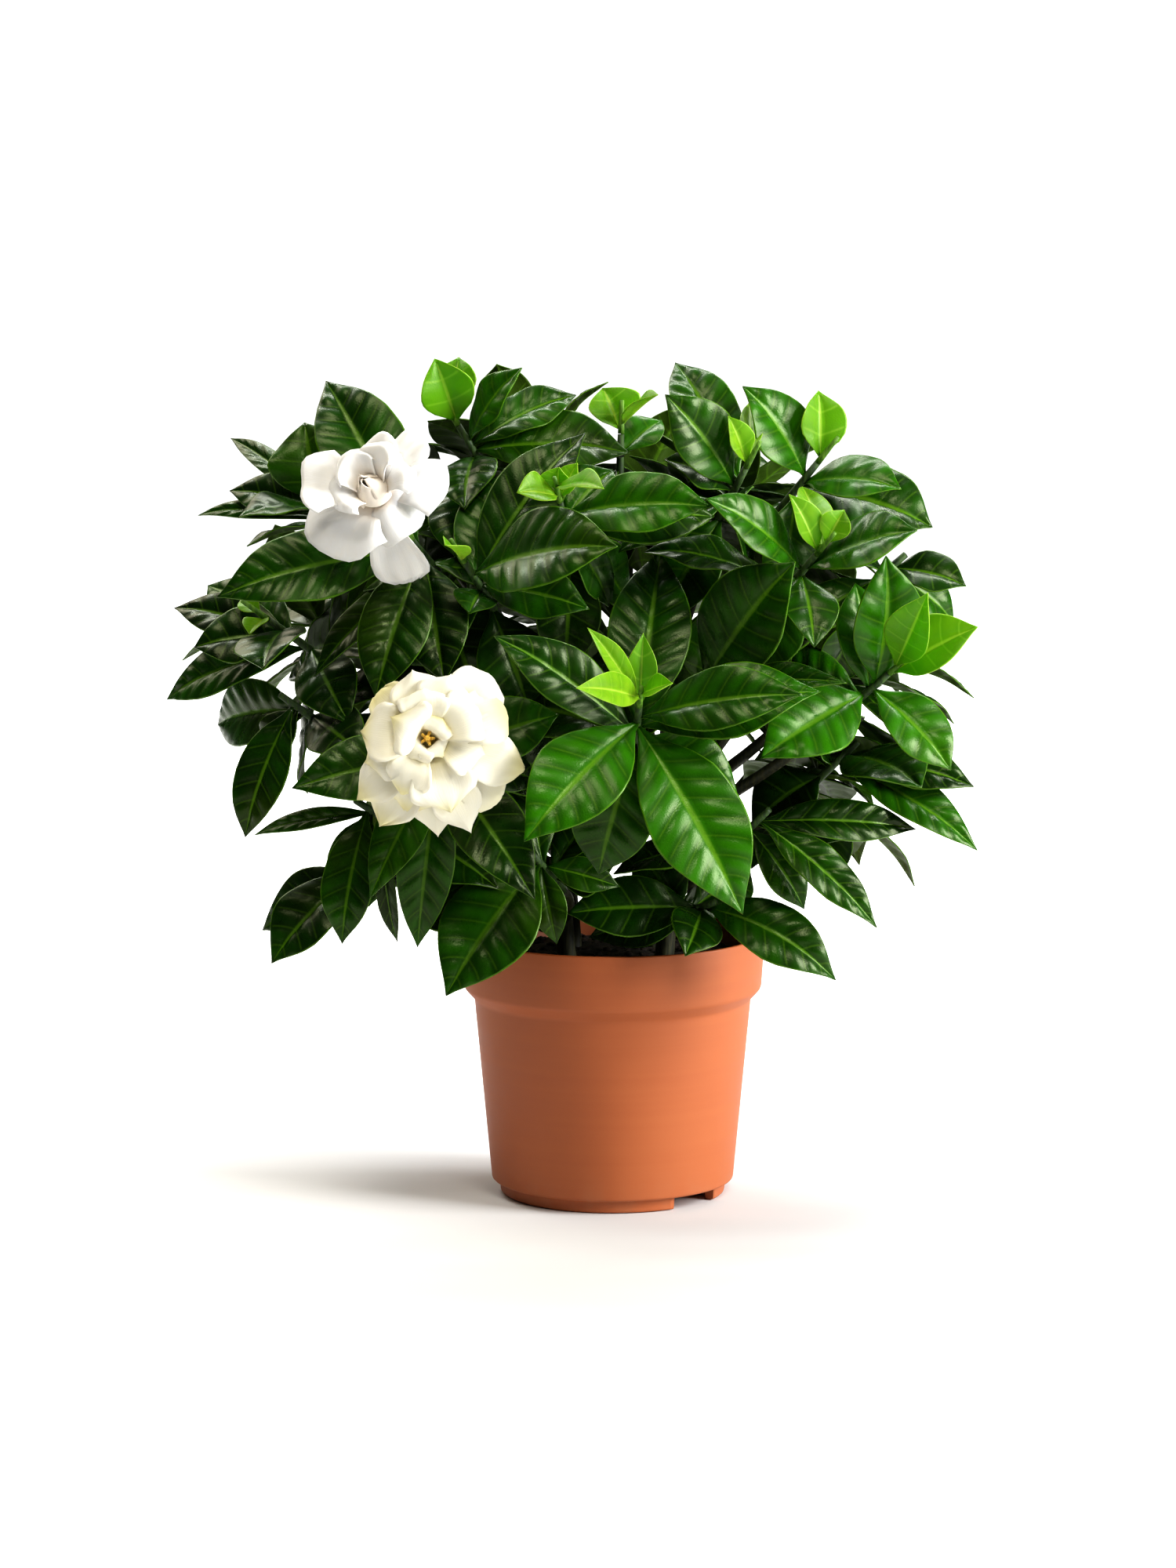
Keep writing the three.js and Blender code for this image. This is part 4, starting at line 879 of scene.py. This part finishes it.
def leafy_piece(name, solid_name, kind, freshness, finishes, draws):
    """A shoot with its stem and leaves in place of its solid, and where the stem is."""
    blades, stem = read_blades(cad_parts[solid_name])
    foot, top, foot_radius, top_radius = stem
    for leaf in blades:
        age = min(1, (leaf["root"] - top).length / (foot - top).length)
        tone = freshness * (1 - age) * draws.uniform(*FRESHNESS_SPREAD)
        leaf["tone"] = tone + draws.uniform(*LEAST_TONE)
    bm = bmesh.new()
    layers = sheet_layers(bm, "across", "vein", "tone")
    sheets = []
    for leaf in blades:
        sheets += leaf_grid(bm, layers, leaf, kind, draws)
    thicken(bm, sheets, kind["thickness"], layers)
    points = [foot.lerp(top, i / STEM_STEPS) for i in range(STEM_STEPS + 1)]
    for face in tube(bm, points, evenly(foot_radius, top_radius, STEM_STEPS), STEM_SIDES):
        face.material_index = 1
    return new_piece(name, bm, finishes, solid_name), stem


draws = random.Random(SEED)
stems = []
for node_name in sorted(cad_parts):
    family, _, place_name = node_name.partition("_")
    if family == "shoot":
        kind = PLAIN_LEAF if place_name.startswith("back_") else SHOWN_LEAF
        freshness = FRESHNESS.get(place_name, USUAL_FRESHNESS)
        piece, stem = leafy_piece("leaves_" + place_name, node_name, kind, freshness,
                                  [mature, green_stem], draws)
        stems.append(stem)
    if family == "young":
        piece, _ = leafy_piece("young_leaves_" + place_name, node_name, YOUNG_LEAF,
                               USUAL_FRESHNESS, [young, young_stem], draws)


# Cuttings

def cutting_point(foot, z):
    rise = 1 + CUTTING_LEAN * max(0, z - CUTTING_FLARE_Z) / (CUTTING_TOP_Z - CUTTING_FLARE_Z)
    return Vector((foot[0] * rise, foot[1] * rise, z)) * MM


def cutting_piece(name, foot, stems):
    """A woody cutting with its branches to the shoots of its own quarter."""
    bm = bmesh.new()
    heights = (CUTTING_ROOT_Z, CUTTING_FLARE_Z, CUTTING_WAIST_Z, CUTTING_TOP_Z)
    trunk = [cutting_point(foot, z) for z in heights]
    tube(bm, trunk, [r * MM for r in CUTTING_RADII], CUTTING_SIDES)
    for stem_foot, stem_top, foot_radius, _ in stems:
        if (stem_foot.x > 0) != (foot[0] > 0) or (stem_foot.y > 0) != (foot[1] > 0):
            continue
        way = (stem_top - stem_foot).normalized()
        end = stem_foot - way * GAP * MM
        spread = math.hypot(end.x / MM - foot[0], end.y / MM - foot[1])
        fork_z = min(max(end.z / MM - FORK_DROP * spread, FORK_LOW_Z), FORK_HIGH_Z)
        fork = cutting_point(foot, fork_z)
        middle = end - way * BRANCH_BEND * (end - fork).length
        points = [curve_point(fork, middle, end, t) for t in evenly(0, 1, BRANCH_STEPS)]
        tube(bm, points, evenly(BRANCH_RADIUS * MM, foot_radius, BRANCH_STEPS), BRANCH_SIDES)
    piece = new_piece(name + "_bark", bm, [bark], name)


for cutting_name, cutting_foot in CUTTINGS.items():
    cutting_piece(cutting_name, cutting_foot, stems)


# Blooms

def petal_sheet(bm, layers, tone, shape):
    """One petal as a sheet with a place and a normal from a shape of (t, s)."""
    made = bmesh.ops.create_grid(bm, x_segments=PETAL_ROWS, y_segments=PETAL_COLUMNS, size=1)
    for index, vert in enumerate(made["verts"]):
        step, column = index % (PETAL_ROWS + 1), index // (PETAL_ROWS + 1)
        t, s = step / PETAL_ROWS, 2 * column / PETAL_COLUMNS - 1
        vert.co, vert[layers["push"]] = shape(t, s)
        vert[layers["along"]] = t
        vert[layers["across"]] = abs(s)
        vert[layers["tone"]] = tone
    return faces_of(made["verts"])


def place_of(bloom):
    return seen(bloom["centre"]), Vector(bloom["facing"]).normalized()


def petal_line(bloom, row):
    """A petal's middle line as root, bend and tip, with the bloom's middle and its facing."""
    angle, seen_length, _, lift, height = row
    centre, facing = place_of(bloom)
    way = Vector((math.cos(math.radians(angle)), 0, math.sin(math.radians(angle))))
    root = centre + square_to(way, facing) * PETAL_ROOT_RADIUS * MM
    tip = centre + way * seen_length * reach_of(bloom["centre"][2]) * MM + facing * height * MM
    return (root, root.lerp(tip, PETAL_BEND) + facing * lift * MM, tip), centre, facing


def half_width_of(bloom, seen_width):
    return seen_width * reach_of(bloom["centre"][2]) * MM * bloom["breadth"] / 2


def spread_petal(bloom, row, draws):
    """The shape of a petal that opens out flat, rolled back along its margin.

    A short one first rises close to the middle of the bloom, and then flares.
    """
    _, seen_length, seen_width, _, _ = row
    line, centre, facing = petal_line(bloom, row)
    half_width = half_width_of(bloom, seen_width)
    phase, ripple = draws.uniform(0, math.tau), draws.uniform(*SPREAD_RIPPLE)
    cup, roll_back = draws.uniform(*SPREAD_CUP), draws.uniform(*SPREAD_ROLL)
    acute = draws.choice(bloom["acute"])
    is_short = seen_length < SHORT_PETAL
    closing = CLOSING if is_short else 0
    half_width *= SHORT_BREADTH if is_short else 1

    def shape(t, s):
        square, pointed = outline_at(SQUARE_PETAL, t), outline_at(POINTED_PETAL, t)
        half = half_width * (square + (pointed - square) * acute)
        along = curve_way(*line, t)
        normal = square_to(facing, along)
        side = normal.cross(along)
        rolled = s * s * eased(t, *SIDES_ROLLING) + TIP_ROLL_SHARE * eased(t, *TIP_ROLLING)
        turn = SPREAD_RIPPLES * s * math.pi + phase
        rise = cup * half * s * s * (1 - eased(t, *FLATTENING))
        rise -= roll_back * half_width * rolled
        rise += ripple * half_width * t * t * math.sin(turn) * abs(s)
        spot = curve_point(*line, t)
        outwards = spot - centre - facing * (spot - centre).dot(facing)
        spot -= outwards * closing * math.sin(math.pi * t)
        return spot + side * s * half + normal * rise, normal

    return shape


def cupped_petal(bloom, row, draws):
    """The shape of a petal that wraps round the middle of the bloom like part of a bowl.

    A very broad one is longer at one side than at the other.
    """
    _, _, seen_width, _, _ = row
    line, centre, facing = petal_line(bloom, row)
    half_width = half_width_of(bloom, seen_width)
    radius = (line[2] - centre - facing * (line[2] - centre).dot(facing)).length
    half_angle = min(MOST_WRAP, half_width / radius)
    skew = WIDE_SKEW if seen_width > WIDE_PETAL else 0
    phase, ripple = draws.uniform(0, math.tau), draws.uniform(*CUPPED_RIPPLE)
    lean, rim = draws.uniform(*CUPPED_LEAN), draws.uniform(*RIM_ROLL)

    def shape(t, s):
        spot = curve_point(*line, t) - centre
        height = spot.dot(facing)
        turn = Matrix.Rotation(half_angle * (s + lean * t), 3, facing)
        out = turn @ (spot - facing * height)
        corner = 1 - CORNER * abs(s) ** CORNER_POWER_ACROSS * t ** CORNER_POWER_ALONG
        reach = corner * (1 - skew * s * t) * (1 + RIM_WAVE * t * math.sin(RIM_WAVES * s + phase))
        ripple_turn = CUPPED_RIPPLES * s * math.pi + phase
        height = height * (1 - SIDES_LOWER * s * s) + lean * s * t * half_width
        height += ripple * half_width * t * t * math.sin(ripple_turn)
        height -= rim * half_width * eased(t, *RIM_ROLLING)
        normal = turn @ square_to(facing, curve_way(*line, t))
        return centre + out * reach + facing * height, normal

    return shape


def rolled_petal(bloom, row, draws):
    """The shape of a petal of the heart, rolled round the middle of the bloom."""
    _, seen_length, _, _, height = row
    line, centre, facing = petal_line(bloom, row)
    way = square_to(line[0] - centre, facing)
    belly = HEART_BELLY * seen_length
    taller = draws.uniform(*HEART_HEIGHTS)

    def shape(t, s):
        share = HEART_NARROWEST + (1 - HEART_NARROWEST) * outline_at(BLUNT_PETAL, t)
        out = Matrix.Rotation(HEART_TURN * (s + HEART_SLANT * t) * share, 3, facing) @ way
        radius = PETAL_ROOT_RADIUS + (belly - PETAL_ROOT_RADIUS) * eased(t, *HEART_OPENING)
        radius = radius - HEART_CLOSING * eased(t, *HEART_CLOSES) + HEART_SPIRAL * s * t
        rise = height * taller * t * (1 - HEART_LEAN * s) * (1 - HEART_SIDES_LOWER * s * s * t)
        return centre + out * radius * MM + facing * rise * MM, out * -1

    return shape


def petal_kind(bloom, row):
    """The heart of a cupped bloom is rolled, and the petal that has dropped hangs flat."""
    _, seen_length, _, _, height = row
    if not bloom["cupped"] or height < HANGING_HEIGHT:
        return spread_petal
    return rolled_petal if seen_length < HEART_LENGTH else cupped_petal


def bloom_piece(name, finish, draws):
    bloom = BLOOMS[name]
    bm = bmesh.new()
    layers = sheet_layers(bm, "along", "across", "tone")
    sheets = []
    for row in bloom["petals"]:
        shape_of = petal_kind(bloom, row)
        tone = HEART_TONE if shape_of is rolled_petal else draws.random()
        sheets += petal_sheet(bm, layers, tone, shape_of(bloom, row, draws))
    thicken(bm, sheets, PETAL_THICKNESS, layers)
    centre, facing = place_of(bloom)
    tube(bm, [centre - facing * RECEPTACLE_DEPTH * MM, centre], [RECEPTACLE_RADIUS * MM] * 2,
         RECEPTACLE_SIDES)
    piece = new_piece(name + "_petals", bm, [finish], name)


bloom_piece("bloom_1", fresh_petals, draws)
bloom_piece("bloom_2", aged_petals, draws)

# These solids are fine enough to stay, in a finish of their own
KEPT_SOLIDS = {"calyx_1": calyx_green, "calyx_2": calyx_green, "stamens_2": pollen}
for node_name, finish in KEPT_SOLIDS.items():
    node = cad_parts[node_name]
    node.data.materials.clear()
    node.data.materials.append(finish)


# Pot

def rounded(profile):
    """A line of [radius, z] points with its corners rounded."""
    points = [Vector(p) for p in profile]
    made = [points[0]]
    for before, corner, after in zip(points, points[1:], points[2:]):
        edges = (before - corner, after - corner)
        reach = min([POT_ROUNDING] + [edge.length / EDGE_PER_ROUNDING for edge in edges])
        start, end = (corner + edge.normalized() * reach for edge in edges)
        made += [curve_point(start, corner, end, t) for t in evenly(0, 1, ROUNDING_STEPS)]
    return made + [points[-1]]


def turned(profile, steps):
    """A body turned about +Z from [radius, z] points that start and end on the axis."""
    bm = bmesh.new()
    verts = [bm.verts.new((p[0] * MM, 0, p[1] * MM)) for p in profile]
    edges = [bm.edges.new(pair) for pair in zip(verts, verts[1:])]
    bmesh.ops.spin(bm, geom=verts + edges, cent=(0, 0, 0), axis=(0, 0, 1), dvec=(0, 0, 0),
                   angle=math.tau, steps=steps, use_merge=True)
    bmesh.ops.remove_doubles(bm, verts=bm.verts, dist=JOINED)
    bmesh.ops.recalc_face_normals(bm, faces=bm.faces)
    return bm


def pot_cutters():
    """The two notches in the foot ring and the drain holes, as one body."""
    bm = bmesh.new()
    for azimuth in NOTCH_AZIMUTHS:
        block = bmesh.ops.create_cube(bm, size=1)["verts"]
        size = Vector((NOTCH_DEPTH, NOTCH_WIDTH, 2 * FOOT_HEIGHT)) * MM
        turn = Matrix.Rotation(math.radians(azimuth), 3, "Z")
        bmesh.ops.scale(bm, verts=block, vec=size)
        bmesh.ops.translate(bm, verts=block, vec=Vector((FOOT_RADIUS, 0, 0)) * MM)
        bmesh.ops.rotate(bm, verts=block, matrix=turn)
    for i in range(DRAIN_HOLES):
        made = bmesh.ops.create_cone(
            bm, cap_ends=True, segments=DRAIN_STEPS, radius1=DRAIN_RADIUS * MM,
            radius2=DRAIN_RADIUS * MM, depth=2 * FLOOR_TOP_Z * MM)
        spot = Vector((DRAIN_RING_RADIUS, 0, FLOOR_TOP_Z)) * MM
        turn = Matrix.Rotation((i + 0.5) * math.tau / DRAIN_HOLES, 3, "Z")
        bmesh.ops.translate(bm, verts=made["verts"], vec=spot)
        bmesh.ops.rotate(bm, verts=made["verts"], matrix=turn)
    return bm


def split_cleanly(mesh):
    """The mesh without points that coincide, its large faces split into triangles."""
    bm = bmesh.new()
    bm.from_mesh(mesh)
    bmesh.ops.remove_doubles(bm, verts=bm.verts, dist=JOINED)
    bmesh.ops.dissolve_degenerate(bm, edges=bm.edges, dist=JOINED)
    bmesh.ops.triangulate(bm, faces=[face for face in bm.faces if len(face.verts) > 4])
    bm.to_mesh(mesh)
    bm.free()
    return mesh


def cut_out(body, cutter_bm):
    """Takes the cutter's shape out of the body."""
    mesh = bpy.data.meshes.new("cutter")
    cutter_bm.to_mesh(mesh)
    cutter_bm.free()
    cutter = bpy.data.objects.new("cutter", mesh)
    bpy.context.scene.collection.objects.link(cutter)
    cut = body.modifiers.new("cut", "BOOLEAN")
    cut.operation = "DIFFERENCE"
    cut.solver = "EXACT"
    cut.object = cutter
    bpy.context.view_layer.update()
    evaluated = body.evaluated_get(bpy.context.evaluated_depsgraph_get())
    shaped = bpy.data.meshes.new_from_object(evaluated)
    body.modifiers.remove(cut)
    body.data = split_cleanly(shaped)
    bpy.data.objects.remove(cutter)


def pot_piece():
    profile = [
        (0, 0), (PAD_RADIUS, 0), (PAD_RADIUS + PAD_FLARE, FLOOR_UNDER_Z),
        (FOOT_INNER_RADIUS, FLOOR_UNDER_Z), (FOOT_INNER_RADIUS + FOOT_INNER_FLARE, 0),
        (FOOT_RADIUS, 0), (FOOT_RADIUS + FOOT_FLARE, FOOT_HEIGHT),
        (BODY_FOOT_RADIUS - BODY_FOOT_SLACK, FOOT_HEIGHT + BODY_FOOT_RISE),
        (BODY_TOP_RADIUS, BODY_TOP_Z), (BAND_FOOT_RADIUS - BAND_SLACK, BAND_FOOT_Z),
        (RIM_RADIUS, POT_HEIGHT), (RIM_RADIUS - WALL, POT_HEIGHT),
        (BAND_FOOT_RADIUS - WALL, BAND_FOOT_Z), (BODY_TOP_RADIUS - WALL, BODY_TOP_Z),
        (BODY_FOOT_RADIUS - WALL, FLOOR_TOP_Z), (0, FLOOR_TOP_Z),
    ]
    bm = turned(rounded(profile), POT_STEPS)
    pot = new_piece("nursery_pot", bm, [terracotta], "pot")
    cut_out(pot, pot_cutters())


pot_piece()


# Soil

def dome_z(share):
    """Height of the soil's smooth dome at a share of its radius."""
    return SOIL_TOP_Z - (SOIL_TOP_Z - SOIL_EDGE_Z) * share ** 2


def soil_height(x, y):
    """How far the soil stands above or below its smooth dome, in millimetres."""
    spot = Vector((x, y, 0))
    return sum(height * noise.noise(spot / length) for length, height in SOIL_WAVES)


def soil_piece(draws):
    radius = BAND_FOOT_RADIUS - WALL - SOIL_GAP
    rings = [radius * i / SOIL_RINGS for i in range(SOIL_RINGS + 1)]
    foot_z = FLOOR_TOP_Z + GAP
    profile = [(r, dome_z(r / radius)) for r in rings] + [
        (BODY_TOP_RADIUS - WALL - SOIL_GAP, BODY_TOP_Z),
        (BODY_FOOT_RADIUS - WALL - SOIL_GAP, foot_z), (0, foot_z)]
    bm = turned(profile, SOIL_STEPS)
    surface_z = (SOIL_EDGE_Z - SOIL_SURFACE_DEPTH) * MM
    for vert in bm.verts:
        if vert.co.z > surface_z and vert.co.xy.length < (radius - STILL_EDGE) * MM:
            vert.co.z += soil_height(vert.co.x / MM, vert.co.y / MM) * MM
    for _ in range(CRUMBS):
        reach = (radius - CRUMB_MARGIN) * math.sqrt(draws.random())
        angle = draws.uniform(0, math.tau)
        x, y = reach * math.cos(angle), reach * math.sin(angle)
        spot = Vector((x, y, dome_z(reach / radius) + soil_height(x, y))) * MM
        size = draws.uniform(*CRUMB_SIZES) * MM
        crumb = bmesh.ops.create_icosphere(bm, subdivisions=1, radius=size)["verts"]
        stretch = Vector([draws.uniform(*span) for span in CRUMB_STRETCHES])
        turn = Matrix.Rotation(draws.uniform(0, math.tau), 3, "Z")
        bmesh.ops.scale(bm, verts=crumb, vec=stretch)
        bmesh.ops.rotate(bm, verts=crumb, matrix=turn)
        bmesh.ops.translate(bm, verts=crumb, vec=spot)
    piece = new_piece("soil", bm, [peat], "potting_soil")


soil_piece(draws)


# Stage, light and camera

def area_light(name, place, aim, size, power, colour):
    lamp = bpy.data.lights.new(name, "AREA")
    lamp.shape = "RECTANGLE"
    lamp.size, lamp.size_y = size
    lamp.energy = power
    lamp.color = colour
    holder = bpy.data.objects.new(name, lamp)
    holder.location = place
    holder.rotation_euler = (Vector(aim) - Vector(place)).to_track_quat("-Z", "Y").to_euler()
    bpy.context.scene.collection.objects.link(holder)


def pale_floor():
    bm = bmesh.new()
    bmesh.ops.create_circle(bm, cap_ends=True, radius=FLOOR_RADIUS, segments=FLOOR_STEPS)
    mesh = bpy.data.meshes.new("floor")
    bm.to_mesh(mesh)
    bm.free()
    finish = Finish("floor_white")
    finish.set(Base_Color=finish.mix(finish.noise(scale=2), *FLOOR_COLOURS),
               Roughness=FLOOR_ROUGHNESS)
    mesh.materials.append(finish.material)
    floor = bpy.data.objects.new("floor", mesh)
    floor.location.z = -FLOOR_DROP
    bpy.context.scene.collection.objects.link(floor)


def white_room():
    """White where the camera sees it, dimmer as a light and in reflections."""
    world = bpy.data.worlds.new("white_room")
    world.use_nodes = True
    tree = world.node_tree
    back = tree.nodes["Background"]
    back.inputs["Color"].default_value = ROOM_COLOUR
    path = tree.nodes.new("ShaderNodeLightPath")
    level = tree.nodes.new("ShaderNodeMapRange")
    level.inputs["To Min"].default_value = ROOM_LIGHT
    level.inputs["To Max"].default_value = ROOM_SEEN
    tree.links.new(path.outputs["Is Camera Ray"], level.inputs["Value"])
    tree.links.new(level.outputs["Result"], back.inputs["Strength"])
    bpy.context.scene.world = world


def set_camera():
    camera = bpy.data.objects.new("camera", bpy.data.cameras.new("camera"))
    camera.data.lens = LENS
    camera.data.sensor_width = SENSOR
    camera.data.clip_end = FAR_CLIP
    camera.location = EYE
    camera.rotation_euler = (AIM - EYE).to_track_quat("-Z", "Y").to_euler()
    bpy.context.scene.collection.objects.link(camera)
    bpy.context.scene.camera = camera


pale_floor()
white_room()
for lamp_name, lamp_values in LAMPS.items():
    area_light(lamp_name, *lamp_values)
set_camera()
bpy.context.scene.view_settings.view_transform = "Standard"
bpy.context.scene.view_settings.look = "Medium High Contrast"
